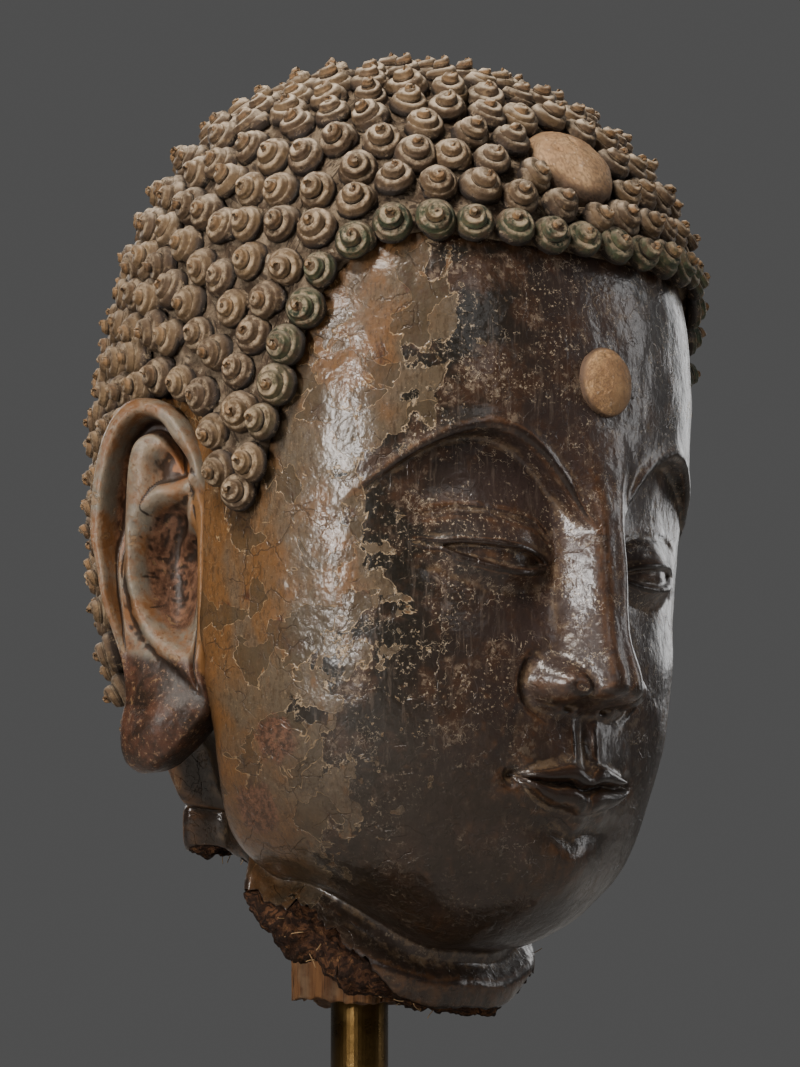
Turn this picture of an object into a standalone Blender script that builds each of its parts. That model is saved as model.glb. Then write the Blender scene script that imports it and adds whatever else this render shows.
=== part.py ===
"""Painted clay head of a buddha on a rod: snail-shell curls, long ears, a boss in the forehead, a jewel
in the hair, a broken neck round its wooden core, and a plain metal rod with a square foot.

Metres, +Z up, the face towards -Y, the origin under the middle of the foot.
The head is shaped upright in its own frame, its origin between the ears, and then nodded into place.
"""

import math

import bmesh
import bpy
import numpy as np
from mathutils import Matrix, Vector

# --- driving dimensions ---------------------------------------------------------------------------------
FACE = 0.390  # hairline to chin, in three equal thirds
THIRD = FACE / 3
HAIRLINE_Z = 0.195  # all heights in the head's own frame
BROW_Z = HAIRLINE_Z - THIRD
NOSE_Z = BROW_Z - THIRD
CHIN_Z = NOSE_Z - THIRD
EYE_WIDTH = 0.062  # and the same again between the eyes
EYE_Z = BROW_Z - 0.36 * THIRD
EYE_X = EYE_WIDTH
MOUTH_Z = NOSE_Z - 0.34 * THIRD
MOUTH_HALF = 0.68 * EYE_WIDTH
NOD = math.radians(9)
HEAD_PLACE = (0.0, -0.036, 0.437)

CURL_PITCH = 0.0235
CURL_CROWDED = 0.80  # of the pitch: the least between two curls of the hairline's row
CURL_ROOM = 0.92  # of the pitch: the least between curls as they are set
CURL_HEIGHT = 0.0185
HAIR_LIFT = 0.0055  # the foot of the curls stands this far above the skin
HAIR_SEED = 7

URNA_R = 0.0205
URNA_Z = BROW_Z + 0.060
JEWEL_R = 0.031
JEWEL_UP = math.radians(55)  # above the ear line, as seen from the middle of the skull

EAR_HEIGHT = 0.220
EAR_WIDTH = 0.086
EAR_FLARE = math.radians(24)
EAR_SLANT = 0.16  # the lobe lies this share of its depth further forward
EAR_PLACE = np.array([0.166, 0.027, -0.019])
EAR_THICK = 0.015
EAR_ROOT = 0.040  # how far the back of the ear reaches into the head
EAR_SEAT = 0.024  # how far the side of the head is drawn in below the bowl of the ear
EAR_RIDGE = (  # the ridge inside the rim, from the top of the ear down to the lobe: place and half width
    (0.0065, 0.0780, 0.0100), (0.0085, 0.0540, 0.0090), (0.0130, 0.0280, 0.0058), (0.0135, 0.0040, 0.0052),
    (0.0090, -0.0150, 0.0058), (0.0, -0.0285, 0.0066), (-0.0140, -0.0390, 0.0076), (-0.0300, -0.0510, 0.0085),
)
EAR_FORK = (  # its lower branch, to the rim in front
    (0.0080, 0.0450, 0.0060), (-0.0060, 0.0530, 0.0060), (-0.0180, 0.0580, 0.0055), (-0.0280, 0.0620, 0.0050),
)
EAR_HOOK = (  # the root of the rim, curling into the bowl
    (-0.030, 0.050, 0.0050), (-0.024, 0.038, 0.0050), (-0.016, 0.029, 0.0048), (-0.006, 0.021, 0.0045),
)

WOOD_SIZE = (0.070, 0.060)
WOOD_TURN = math.radians(12)
WOOD_BOTTOM = 0.187
WOOD_TOP = 0.300

ROD_R = 0.0175
ROD_TOP = 0.232
FOOT_SIDE = 0.300
FOOT_THICK = 0.020
FOOT_SOCKET = 0.012  # how far the rod stands into the foot

GAP = 0.0003

# Height, half width, depth before and behind the ear line, half width behind the jaw, from the crown down.
LEVELS = np.array([
    (0.300, 0.000, 0.000, 0.000, 0.000),
    (0.289, 0.073, 0.060, 0.085, 0.073),
    (0.254, 0.123, 0.104, 0.142, 0.123),
    (HAIRLINE_Z, 0.150, 0.142, 0.178, 0.150),
    (0.130, 0.158, 0.160, 0.191, 0.158),
    (BROW_Z, 0.160, 0.166, 0.193, 0.160),
    (EYE_Z, 0.160, 0.167, 0.184, 0.160),
    (-0.030, 0.159, 0.168, 0.165, 0.159),
    (NOSE_Z, 0.156, 0.168, 0.144, 0.156),
    (-0.110, 0.150, 0.167, 0.121, 0.146),
    (-0.142, 0.141, 0.163, 0.112, 0.136),
    (-0.175, 0.126, 0.152, 0.108, 0.128),
    (CHIN_Z - 0.003, 0.108, 0.133, 0.106, 0.122),
    (-0.210, 0.092, 0.112, 0.105, 0.118),
    (-0.213, 0.086, 0.096, 0.105, 0.116),
    (-0.220, 0.094, 0.092, 0.104, 0.117),
    (-0.233, 0.104, 0.100, 0.103, 0.117),
    (-0.248, 0.098, 0.096, 0.100, 0.112),
    (-0.252, 0.070, 0.072, 0.074, 0.080),
    (-0.232, 0.000, 0.000, 0.000, 0.000),
])
NECK_FIRST = 14  # the first of the levels above that belongs to the neck
SQUARENESS = 2.25  # of the outline of a level: 2 is an ellipse
NAPE_SQUARENESS = 1.9  # behind the ears at jaw height
JAW_HOLLOW = 0.24  # of the half width, drawn in between the jaw and the nape


# --- the skin of the head as a function of angle and way down ---------------------------------------------
def way_down(levels):
    """How far along its profile each level lies, from 0 at the crown to 1."""
    run = np.hypot(np.diff(levels[:, 0]), np.diff(levels[:, 1:4].mean(axis=1)))
    along = np.concatenate(([0.0], np.cumsum(run)))
    return along / along[-1]


WAY = way_down(LEVELS)


def smooth(knots, values, t):
    """A cubic through values at knots, with the slope at each knot taken from its neighbours."""
    slope = np.gradient(values, knots)
    i = np.clip(np.searchsorted(knots, t, side="right") - 1, 0, len(knots) - 2)
    step = knots[i + 1] - knots[i]
    s = (t - knots[i]) / step
    return (
        values[i] * (1 + 2 * s) * (1 - s) ** 2
        + slope[i] * step * s * (1 - s) ** 2
        + values[i + 1] * s * s * (3 - 2 * s)
        + slope[i + 1] * step * s * s * (s - 1)
    )


def bump(d, width):
    """One at d = 0, falling softly to nothing about two widths away."""
    return np.exp(-((d / width) ** 2))


def flat_bump(d, width):
    """As bump, with a flat top and steeper sides."""
    return np.exp(-((d / width) ** 4))


def ramp(d, lowest, highest):
    """Nought below lowest, one above highest, and a soft step between."""
    s = np.clip((d - lowest) / (highest - lowest), 0, 1)
    return s * s * (3 - 2 * s)


def nose_rise(x, z):
    """A straight ridge that widens and rises to a round tip, with a wing on each side."""
    far = np.abs(x)
    down = np.clip((BROW_Z - z) / THIRD, 0, 1.05)
    ridge = (0.012 + 0.027 * down) * ramp(z, NOSE_Z - 0.006, NOSE_Z + 0.014)
    ridge = ridge * (1 - ramp(z, BROW_Z - 0.010, BROW_Z + 0.040))
    across = np.exp(-(far / (0.0135 + 0.008 * down ** 2)) ** 3)
    tip = 0.0045 * bump(np.hypot(x * 0.85, z - NOSE_Z - 0.0175), 0.0185)
    wing = 0.018 * bump(np.hypot(far - 0.026, (z - NOSE_Z - 0.012) * 0.85), 0.0130)
    return ridge * across + tip + wing


def brow_height(far):
    """The arch of the brow: it springs from the root of the nose, and is highest over the eye."""
    return BROW_Z + 0.024 - 0.050 * ((far - 0.076) / 0.064) ** 2


def lid_lines(far):
    """The heights of the edges of the upper and the lower lid across one eye."""
    s = np.clip((far - EYE_X) / (EYE_WIDTH / 2), -1, 1)
    upper = EYE_Z + 0.0060 * (1 - s * s) + 0.001 * s
    lower = EYE_Z - 0.0050 * (1 - s * s) + 0.001 * s
    return upper, lower


def eye_rise(x, z):
    """A hollow under the brow, the swell of the eyeball under its lids, and the narrow opening."""
    far = np.abs(x)
    arch = brow_height(far)
    under = ramp(arch - z, 0.0, 0.009) * ramp(z, EYE_Z - 0.050, EYE_Z)
    hollow = -0.013 * under * bump((far - 0.070) / 0.058, 1.0) * ramp(far, 0.010, 0.026)
    edge = 0.0025 * bump(z - arch - 0.004, 0.006) * ramp(far, 0.014, 0.030) * (1 - ramp(far, 0.115, 0.140))
    ball = 0.017 * bump(np.hypot((far - EYE_X) * 0.70, z - EYE_Z + 0.001), 0.0225)
    upper, lower = lid_lines(far)
    inside = ramp(upper - z, -0.001, 0.002) * ramp(z - lower, -0.001, 0.002)
    inside = inside * ramp(EYE_WIDTH / 2 - np.abs(far - EYE_X), -0.001, 0.004)
    return hollow + edge + ball - 0.0050 * inside


def mouth_rise(x, z):
    """Two full lips parted by a crease, with the groove above and the dip below them."""
    far = np.abs(x)
    s = np.clip(far / MOUTH_HALF, 0, 1)
    line = MOUTH_Z + 0.003 * s ** 3
    full = np.sqrt(np.clip(1 - s ** 2.2, 0, 1))
    top = 0.0078 * full * bump(z - line - 0.0080, 0.0080)
    low = 0.0092 * full * bump(z - line + 0.0095, 0.0090)
    crease = -0.0060 * bump(z - line, 0.0035) * (1 - ramp(far, MOUTH_HALF, MOUTH_HALF + 0.006))
    groove = -0.003 * bump(far, 0.006) * bump(z - NOSE_Z + 0.014, 0.012)
    dip = -0.005 * bump(z - line + 0.031, 0.009) * bump(far, 0.036)
    mound = 0.010 * bump(np.hypot(far, (z - line) * 1.15), 0.046)
    return top + low + crease + groove + dip + mound


def chin_rise(x, z):
    """The round knob of the chin."""
    return 0.0115 * bump(np.hypot(x * 0.9, (z - CHIN_Z - 0.031) * 1.1), 0.030)


def face_rise(x, z):
    """All that stands out of the smooth egg of the face, towards -Y."""
    return nose_rise(x, z) + eye_rise(x, z) + mouth_rise(x, z) + chin_rise(x, z)


def ear_outline(turn):
    """The rim: broad above, waisted, and plump at the lobe. 0 is towards the back, a quarter turn is up."""
    c, s = np.cos(turn), np.sin(turn)
    half = EAR_WIDTH / 2 * (0.93 + 0.10 * s - 0.12 * bump(s + 0.36, 0.22))
    waist = 1 - 0.12 * ramp(-s, -0.30, 0.0) * (1 - ramp(-s, 0.45, 0.75))
    half = half * np.where(c > 0, waist, 1 + 0.13 * ramp(s, 0.15, 0.60))
    return half * np.sign(c) * np.abs(c) ** 0.86, EAR_HEIGHT / 2 * s


def ear_shift(h):
    """How far towards the back a height of the ear lies: it slants forward, and its end swings back."""
    return EAR_SLANT * h - 0.006 * ramp(-h, 0.030, 0.070) + 0.45 * np.clip(-h - 0.070, 0, None)


def off_line(e, h, points):
    """How far a place lies from a bent line through points, in half widths of the line there."""
    out = np.full(e.shape, 10.0)
    for a, b in zip(points, points[1:]):
        de, dh = b[0] - a[0], b[1] - a[1]
        along = np.clip(((e - a[0]) * de + (h - a[1]) * dh) / (de * de + dh * dh), 0, 1)
        away = np.hypot(e - a[0] - along * de, h - a[1] - along * dh)
        out = np.minimum(out, away / (a[2] + (b[2] - a[2]) * along))
    return out


def side_of_head(y, z):
    """How far out the smooth side of the head lies."""
    t = way_at_height(z)
    wide, before, behind, wide_behind = (smooth(WAY, LEVELS[:, k], t) for k in range(1, 5))
    share = np.clip(y / np.where(y < 0, before, behind), -0.95, 0.95)
    far = np.arccos(-np.sign(share) * np.abs(share) ** (SQUARENESS / 2))
    return (wide + (wide_behind - wide) * ramp(far, 1.26, 1.75)) * np.sin(far) ** (2 / SQUARENESS)


def ear_relief(e, h, share):
    """How far the front of the ear stands out of its plane: a thick rolled rim, a deep trough inside it that
    runs out into a groove, a forked ridge that sweeps down into the plump lobe, a hollow in the fork, and the
    bowl, with the root of the rim hooked into it. In front the ear runs smoothly into the cheek."""
    across, up = EAR_WIDTH / 2, EAR_HEIGHT / 2
    turn = np.arctan2(h / up, e / across)
    turn = np.where(turn < -2.4, turn + 2 * math.pi, turn)
    inside = (1 - share) * share / (np.hypot(e / across ** 2, h / up ** 2) + 1e-9)
    broad = 0.0118 - 0.0020 * ramp(turn, 2.0, 2.6)
    rolled = ramp(turn, -0.75, 0.05) * (1 - ramp(turn, 2.50, 2.80))
    rim = 0.0116 * flat_bump(inside - 0.46 * broad, 0.54 * broad) * rolled
    open_part = ramp(turn, 0.0, 0.55) * (1 - ramp(turn, 1.9, 2.25))
    wide = 0.0042 + 0.0020 * bump(turn - 0.75, 0.50)
    trough = -0.0140 * open_part * flat_bump(inside - broad - 0.9 * wide, wide)
    groove = -0.0030 * bump(inside - broad - 0.0010, 0.0020) * ramp(turn, -0.60, -0.25) * (1 - open_part)
    ridge = 0.0060 * np.exp(-off_line(e, h, EAR_RIDGE) ** 3)
    ridge = np.maximum(ridge, 0.0055 * np.exp(-off_line(e, h, EAR_FORK) ** 3))
    hook = 0.0090 * np.exp(-off_line(e, h, EAR_HOOK) ** 2) * ramp(-e, 0.004, 0.018)
    fork = np.hypot((e + 0.0150) / 0.0140, (h - 0.0710 + 0.15 * (e + 0.0150)) / 0.0120)
    bowl = np.hypot((e + 0.0115) / 0.0205, (h - 0.0110) / 0.0370)
    shallower = 1 - 0.65 * ramp(-e, 0.002, 0.034) * ramp(-h, -0.040, 0.005)
    hollows = -0.0085 * flat_bump(fork, 1.0) - 0.0230 * flat_bump(bowl, 0.97) * shallower
    lobe = 0.0170 * bump(np.hypot((e + 0.003) / 0.029, (h + 0.082) / 0.034), 0.90)
    out = rim + trough + groove + ridge + hook + hollows + lobe
    cheek = ramp(-e, 0.022, 0.034) * ramp(h, -0.062, -0.040) * (1 - ramp(h, 0.045, 0.068))
    level = out
    for _ in range(3):
        y = EAR_PLACE[1] + math.cos(EAR_FLARE) * (e + ear_shift(h)) - math.sin(EAR_FLARE) * level
        x = side_of_head(y, EAR_PLACE[2] + h)
        level = (x - EAR_PLACE[0] - math.sin(EAR_FLARE) * (e + ear_shift(h))) / math.cos(EAR_FLARE)
    return out + (level + 0.0008 - 0.0060 * ramp(share, 0.84, 1.0) - out) * cheek


def ear_seat(y, z):
    """How far the side of the head is drawn in to make room for the hollows of the ear."""
    h = z - EAR_PLACE[2]
    e = (y - EAR_PLACE[1]) / math.cos(EAR_FLARE) - ear_shift(h)
    share = np.hypot(e / (EAR_WIDTH / 2), h / (EAR_HEIGHT / 2))
    return EAR_SEAT * (1 - ramp(share, 0.80, 0.92)) * ramp(h, -0.060, -0.035) * ramp(e, -0.036, -0.024)


def neck_lift(angle):
    """The roll of the neck climbs from under the chin to below the ears, and behind them the neck is broken
    off higher still."""
    far = np.abs(angle)
    return 0.030 * ramp(far, 0.17, 1.31) + 0.047 * ramp(far, 1.36, 1.75)


def ragged(angle):
    """The uneven edge of the break round the neck: nearly smooth in front, then half the roll is torn away,
    and behind it is jagged."""
    far = np.abs(angle)
    torn = 0.12 + 0.88 * ramp(far, 0.31, 1.08)
    waves = (
        0.0032 * np.sin(4 * angle + 0.6) + 0.0026 * np.sin(7 * angle + 4.1)
        + 0.0022 * np.sin(13 * angle + 1.3) + 0.0014 * np.sin(19 * angle + 2.0)
    )
    return torn * waves - 0.006 * ramp(far, 0.50, 0.78) * (1 - ramp(far, 1.31, 1.60))


def skin(angle, t):
    """Points on the head at an angle round it, 0 in front and positive to +X, and t of the way down: each
    level is a rounded square outline through its half sizes, with the face standing out in front and a
    hollow drawn in behind the jaw."""
    z, wide, before, behind, wide_behind = (smooth(WAY, LEVELS[:, k], t) for k in range(5))
    far = np.abs(angle)
    rear = ramp(far, 1.26, 1.75)
    wide = wide + (wide_behind - wide) * rear
    s, c = np.sin(angle), np.cos(angle)
    drawn_in = (c < 0) * ramp(-z, 0.06, 0.12) * (1 - ramp(-z, 0.20, 0.22))
    power = 2 / (SQUARENESS + (NAPE_SQUARENESS - SQUARENESS) * drawn_in)
    hollow = 1 - JAW_HOLLOW * ramp(far, 1.44, 1.66) * (1 - ramp(far, 1.90, 2.12)) * ramp(-z, 0.060, 0.120)
    x = wide * np.sign(s) * np.abs(s) ** power * hollow
    y = -np.where(c > 0, before, behind) * np.sign(c) * np.abs(c) ** power
    first = WAY[10] + (WAY[9] - WAY[10]) * rear
    last = WAY[14] + (WAY[17] - WAY[14]) * rear
    z = z + ramp(t, first, last) * neck_lift(angle) + ragged(angle) * ramp(t, WAY[15], WAY[17])
    on_face = ramp(c, 0.0, 0.35) * (1 - ramp(t, WAY[NECK_FIRST - 3], WAY[NECK_FIRST - 1]))
    y = y - on_face * face_rise(x, z)
    x = x - np.sign(x) * ear_seat(y, z) * ramp(np.abs(x), 0.09, 0.11)
    return np.stack([x, y, z], axis=-1)


# --- the hair: a hairline, rows of curls along it, and the rest packed behind them -------------------------
HAIRLINE = np.array([  # degrees round from the front, height
    (0, HAIRLINE_Z),
    (42, HAIRLINE_Z),
    (55, 0.186),
    (65, 0.160),
    (71, 0.118),
    (75, 0.060),
    (78, 0.030),
    (82, 0.030),
    (86, 0.064),
    (91, 0.092),
    (104, 0.098),
    (112, 0.060),
    (120, -0.030),
    (130, -0.096),
    (145, -0.118),
    (180, -0.122),
])
SKULL = np.array([0.0, 0.010, 0.080])  # the middle of the skull
HAIR_SAMPLES = (240, 150)  # round and down
HAIR_ROUNDS = 6  # of settling


def hairline_height(angle):
    return np.interp(np.degrees(np.abs(angle)), HAIRLINE[:, 0], HAIRLINE[:, 1])


def way_at_height(z):
    """How far down the head a height lies, above the neck."""
    t = np.linspace(0, WAY[NECK_FIRST], 400)
    return np.interp(-z, -smooth(WAY, LEVELS[:, 0], t), t)


def outward(angle, t):
    """Unit normals of the skin, pointing out."""
    step = 1e-3
    across = skin(angle + step, t) - skin(angle - step, t)
    down = skin(angle, np.minimum(t + step, 1)) - skin(angle, np.maximum(t - step, 1e-4))
    normal = np.cross(down, across)
    return normal / np.linalg.norm(normal, axis=-1, keepdims=True)


def jewel_centre():
    """Where the jewel's direction from the middle of the skull meets the skin."""
    t = np.linspace(0.02, WAY[4], 300)
    points = skin(np.zeros_like(t), t) - SKULL
    rise = np.arctan2(points[:, 2], -points[:, 1])
    return points[np.argmin(np.abs(rise - JEWEL_UP))] + SKULL


def scalp_samples():
    """Points all over the scalp, the area that each stands for, and the way out at each; none under the
    jewel."""
    angles = np.linspace(-math.pi, math.pi, HAIR_SAMPLES[0], endpoint=False)
    ways = np.linspace(0.004, WAY[NECK_FIRST], HAIR_SAMPLES[1])
    angle, t = np.meshgrid(angles, ways, indexing="ij")
    points = skin(angle, t)
    round_it = np.linalg.norm(skin(angle + 0.01, t) - points, axis=-1)
    down_it = np.linalg.norm(skin(angle, t + 0.002) - points, axis=-1)
    keep = points[..., 2] > hairline_height(angle)
    keep &= np.linalg.norm(points - jewel_centre(), axis=-1) > JEWEL_R
    cell = (angles[1] - angles[0]) * (ways[1] - ways[0]) / (0.01 * 0.002)
    return points[keep], (round_it * down_it)[keep] * cell, outward(angle, t)[keep]


def evenly_along(points, spacing):
    """The points of a closed path, one each spacing along it."""
    ring = np.vstack([points, points[:1]])
    run = np.concatenate(([0.0], np.cumsum(np.linalg.norm(np.diff(ring, axis=0), axis=1))))
    at = np.arange(round(run[-1] / spacing)) * run[-1] / round(run[-1] / spacing)
    return np.stack([np.interp(at, run, ring[:, k]) for k in range(3)], axis=1)


def hairline_row():
    """The curls along the hairline, the same step apart; one that would crowd another is left out."""
    angle = np.linspace(-math.pi, math.pi, 1440, endpoint=False)
    edge = skin(angle, way_at_height(hairline_height(angle) + 0.35 * CURL_PITCH))
    row = []
    for place in evenly_along(edge, CURL_PITCH):
        if all(np.linalg.norm(place - other) > CURL_CROWDED * CURL_PITCH for other in row):
            row.append(place)
    return np.array(row)


def eased_apart(loose, fixed, points, area):
    """Each loose place moved again and again to the middle of the scalp that is nearest to it."""
    for _ in range(HAIR_ROUNDS):
        places = np.vstack([fixed, loose])
        near = np.argmin((places ** 2).sum(1)[None, :] - 2 * points @ places.T, axis=1)
        total = np.bincount(near, weights=area, minlength=len(places))[len(fixed):, None]
        middle = np.stack(
            [np.bincount(near, weights=area * points[:, k], minlength=len(places)) for k in range(3)], axis=1
        )[len(fixed):]
        loose = np.where(total > 0, middle / np.maximum(total, 1e-12), loose)
    return loose


def curl_places():
    """The middles of all curls on the skin, the way out at each, and how many lie along the hairline. They
    are set as a maker sticks them on: one after another into the pocket between those already there,
    working up from the hairline. In the end all but the hairline's are eased apart."""
    points, area, out = scalp_samples()
    row = hairline_row()
    first = np.full(len(points), np.inf)
    second = first.copy()
    for place in row:
        away = np.linalg.norm(points - place, axis=1)
        second = np.minimum(second, np.maximum(first, away))
        first = np.minimum(first, away)
    from_edge = first.copy()
    loose = []
    while (first > CURL_ROOM * CURL_PITCH).any():
        score = np.where(first > CURL_ROOM * CURL_PITCH, first + second + 0.3 * from_edge, np.inf)
        loose.append(points[np.argmin(score)])
        away = np.linalg.norm(points - loose[-1], axis=1)
        second = np.minimum(second, np.maximum(first, away))
        first = np.minimum(first, away)
    places = np.vstack([row, eased_apart(np.array(loose), row, points, area)])
    nearest = np.argmin((points ** 2).sum(1)[None, :] - 2 * places @ points.T, axis=1)
    return places, out[nearest], len(row)


# --- small helpers -----------------------------------------------------------------------------------------
def material(name, colour, roughness, metallic=0.0):
    made = bpy.data.materials.new(name)
    made.use_nodes = True
    shader = made.node_tree.nodes["Principled BSDF"]
    shader.inputs["Base Color"].default_value = (*colour, 1)
    shader.inputs["Roughness"].default_value = roughness
    shader.inputs["Metallic"].default_value = metallic
    return made


def collection(name):
    made = bpy.data.collections.new(name)
    bpy.context.scene.collection.children.link(made)
    return made


def object_from(name, bm, where, finish=None):
    """An object made of a bmesh, with its normals facing out."""
    bmesh.ops.recalc_face_normals(bm, faces=bm.faces)
    mesh = bpy.data.meshes.new(name)
    bm.to_mesh(mesh)
    bm.free()
    made = bpy.data.objects.new(name, mesh)
    where.objects.link(made)
    if finish:
        mesh.materials.append(finish)
    return made


def as_guide(made):
    """Cutters and fused shapes are hidden: only the head that uses them is a part."""
    made.hide_render = True
    made.display_type = "WIRE"
    return made


def boolean(target, other, operation):
    cut = target.modifiers.new(f"{operation.lower()} {other.name}", "BOOLEAN")
    cut.object = other
    cut.operation = operation
    cut.solver = "EXACT"


def thin_out(made, share):
    """Fewer faces where the surface is smooth, the same where it is carved."""
    fewer = made.modifiers.new("fewer faces", "DECIMATE")
    fewer.ratio = share


def head_matrix():
    """From the head's own upright frame to its place, nodding forwards."""
    return Matrix.Translation(HEAD_PLACE) @ Matrix.Rotation(NOD, 4, "X")


# --- the clay ---------------------------------------------------------------------------------------------
CORE_COLUMNS = 88
CORE_FRONT_SHARE = 0.42  # how close the columns stand in front, against evenly round
FACE_ROWS = 76
SKULL_ROWS = 6
NECK_ROWS = 12
CORE_FACES_KEPT = 0.23  # thinned where the clay is smooth
PIT_SHARE = 0.27  # of the curls' height: how high the pits between them lie
UNDER_HAIR_SHARE = 0.10  # how far the core draws in below the shell of curls


def core_rows():
    """The t of each ring of the core: few over the skull, close over the face, a few down the neck."""
    return np.concatenate([
        np.linspace(0.0, WAY[3], SKULL_ROWS + 1)[1:-1],
        np.linspace(WAY[3], WAY[NECK_FIRST], FACE_ROWS),
        np.linspace(WAY[NECK_FIRST], 1.0, NECK_ROWS + 2)[1:-1],
    ])


def clay_core():
    """A sphere whose rings and columns are carried onto the skin of the head."""
    rows = core_rows()
    bm = bmesh.new()
    bmesh.ops.create_uvsphere(bm, u_segments=CORE_COLUMNS, v_segments=len(rows) + 1, radius=1)
    at = np.array([v.co[:] for v in bm.verts])
    share = np.arctan2(at[:, 0], -at[:, 1]) / math.pi
    angle = math.pi * (CORE_FRONT_SHARE * share + (1 - CORE_FRONT_SHARE) * share ** 3)
    ring = np.rint(np.arccos(np.clip(at[:, 2], -1, 1)) / math.pi * (len(rows) + 1)).astype(int)
    way = np.concatenate(([0.0], rows, [1.0]))[ring]
    places = skin(angle, way)
    under_hair = ramp(places[:, 2] - hairline_height(angle), 0.0, 0.012)[:, None]
    places = SKULL + (places - SKULL) * (1 - UNDER_HAIR_SHARE * under_hair)
    for vert, place in zip(bm.verts, places):
        vert.co = place
    return bm


def hull_faces(points):
    """The triangles, as numbers of points, that join points all round the middle of the skull: the convex
    hull of their directions from there."""
    bm = bmesh.new()
    number = bm.verts.layers.int.new("number")
    away = points - SKULL
    for i, direction in enumerate(away / np.linalg.norm(away, axis=1, keepdims=True)):
        bm.verts.new(direction)[number] = i
    bmesh.ops.convex_hull(bm, input=bm.verts)
    faces = np.array([[vert[number] for vert in face.verts] for face in bm.faces])
    bm.free()
    return faces


def hairline_feet(count):
    """Points just under the skin below the hairline, where the shell of curls ends."""
    angle = np.linspace(-math.pi, math.pi, count, endpoint=False)
    feet = skin(angle, way_at_height(hairline_height(angle) - 0.30 * CURL_PITCH))
    return SKULL + (feet - SKULL) * (1 - 0.004 / np.linalg.norm(feet - SKULL, axis=1, keepdims=True))


def inner_points():
    """A few points well inside the clay, which close the shell of curls below."""
    ring, down = np.meshgrid(np.linspace(-math.pi, math.pi, 16, endpoint=False), np.linspace(0.08, 1, 6))
    low = hairline_height(ring) - 0.045
    points = skin(ring, way_at_height(low + (low.min() - 0.03 - low) * down)).reshape(-1, 3)
    return SKULL + (points - SKULL) * 0.90


def jewel_bed():
    """Points round the jewel's seat, which keep the shell low there."""
    turn = np.linspace(0, 2 * math.pi, 6, endpoint=False)
    side = np.stack([np.cos(turn), 0.6 * np.sin(turn), 0.8 * np.sin(turn)], axis=1)
    return np.vstack([jewel_centre()[None], jewel_centre() + 0.55 * JEWEL_R * side])


def curl_cap():
    """A closed shell over the scalp with a six-sided stub for each curl. The middles of the curls are joined
    into triangles; a pit lies in the middle of each triangle, and each curl's tip is then joined to the pits
    round it. Below the hairline the shell dives under the skin."""
    rng = np.random.default_rng(HAIR_SEED + 1)
    places, out, hairline_count = curl_places()
    places = places + out * HAIR_LIFT
    rest = np.vstack([hairline_feet(hairline_count), inner_points(), jewel_bed()])
    joined = hull_faces(np.vstack([places, rest]))
    between = joined[(joined < len(places)).sum(axis=1) >= 2]
    feet = np.vstack([places, rest])[between].mean(axis=1)
    raised = np.vstack([places + out * CURL_HEIGHT * PIT_SHARE, rest])
    pits = raised[between].mean(axis=1)
    height = CURL_HEIGHT * (1 + rng.uniform(-0.06, 0.06, (len(places), 1)))
    tips = places + out * height + rng.uniform(-0.001, 0.001, places.shape)
    bm = bmesh.new()
    verts = [bm.verts.new(point) for point in np.vstack([tips, pits, rest])]
    for face in hull_faces(np.vstack([places, feet, rest])):
        bm.faces.new([verts[i] for i in face])
    return bm


# --- the ears ---------------------------------------------------------------------------------------------
EAR_COLUMNS = 40
EAR_FRONT = (0.22, 0.42, 0.58, 0.70, 0.80, 0.89, 0.96)  # rings from the middle of the bowl to the rim
EAR_BACK = (0.97, 0.70)
EAR_FACES_KEPT = 0.55


def ear_matrix(side):
    """From the ear's own plane (back, up, out) to the head's frame; side is -1 or 1."""
    s, c = math.sin(EAR_FLARE), math.cos(EAR_FLARE)
    x, y, z = EAR_PLACE
    return Matrix(((side * s, 0, side * c, side * x), (c, 0, -s, y), (0, 1, 0, z), (0, 0, 0, 1)))


def ear(side):
    """A sphere flattened onto the ear: its upper half is the front with its relief, its lower half the
    back, which narrows into the head."""
    rings = len(EAR_FRONT) + 1 + len(EAR_BACK)
    bm = bmesh.new()
    bmesh.ops.create_uvsphere(bm, u_segments=EAR_COLUMNS, v_segments=rings + 1, radius=1)
    at = np.array([v.co[:] for v in bm.verts])
    turn = np.arctan2(at[:, 1], at[:, 0])
    ring = np.rint(np.arccos(np.clip(at[:, 2], -1, 1)) / math.pi * (rings + 1)).astype(int)
    share = np.array((0.0, *EAR_FRONT, 1.0, *EAR_BACK, 0.0))[ring]
    e, h = ear_outline(turn)
    e, h = e * share, h * share
    front = ear_relief(e, h, share) - 0.006 * ramp(share, 0.94, 1.0)
    behind = -EAR_THICK - EAR_ROOT * (1 - share) ** 0.5
    out = np.where(ring <= len(EAR_FRONT) + 1, front, behind)
    place = ear_matrix(side)
    for vert, point in zip(bm.verts, np.stack([e + ear_shift(h), h, out], axis=1)):
        vert.co = place @ Vector(point)
    return bm


# --- set-in pieces and the stand ----------------------------------------------------------------------------
DOME_STEPS = 24
URNA_RISE = 0.009
URNA_SEAT = 0.006
URNA_JOINT = 0.0010  # the open joint round the boss
JEWEL_RISE = 0.022
JEWEL_SEAT = 0.010


def turned(name, profile, where, steps):
    """A profile of (radius, height) points, from the axis on top down its outer side to the axis below,
    turned round Z by a Screw modifier."""
    mesh = bpy.data.meshes.new(name)
    edges = [(i, i + 1) for i in range(len(profile) - 1)]
    mesh.from_pydata([(r, 0, z) for r, z in profile], edges, [])
    made = bpy.data.objects.new(name, mesh)
    where.objects.link(made)
    screw = made.modifiers.new("turn", "SCREW")
    screw.steps = screw.render_steps = steps
    screw.use_merge_vertices = True
    screw.merge_threshold = 0.00001
    screw.use_smooth_shade = True
    return made


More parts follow.
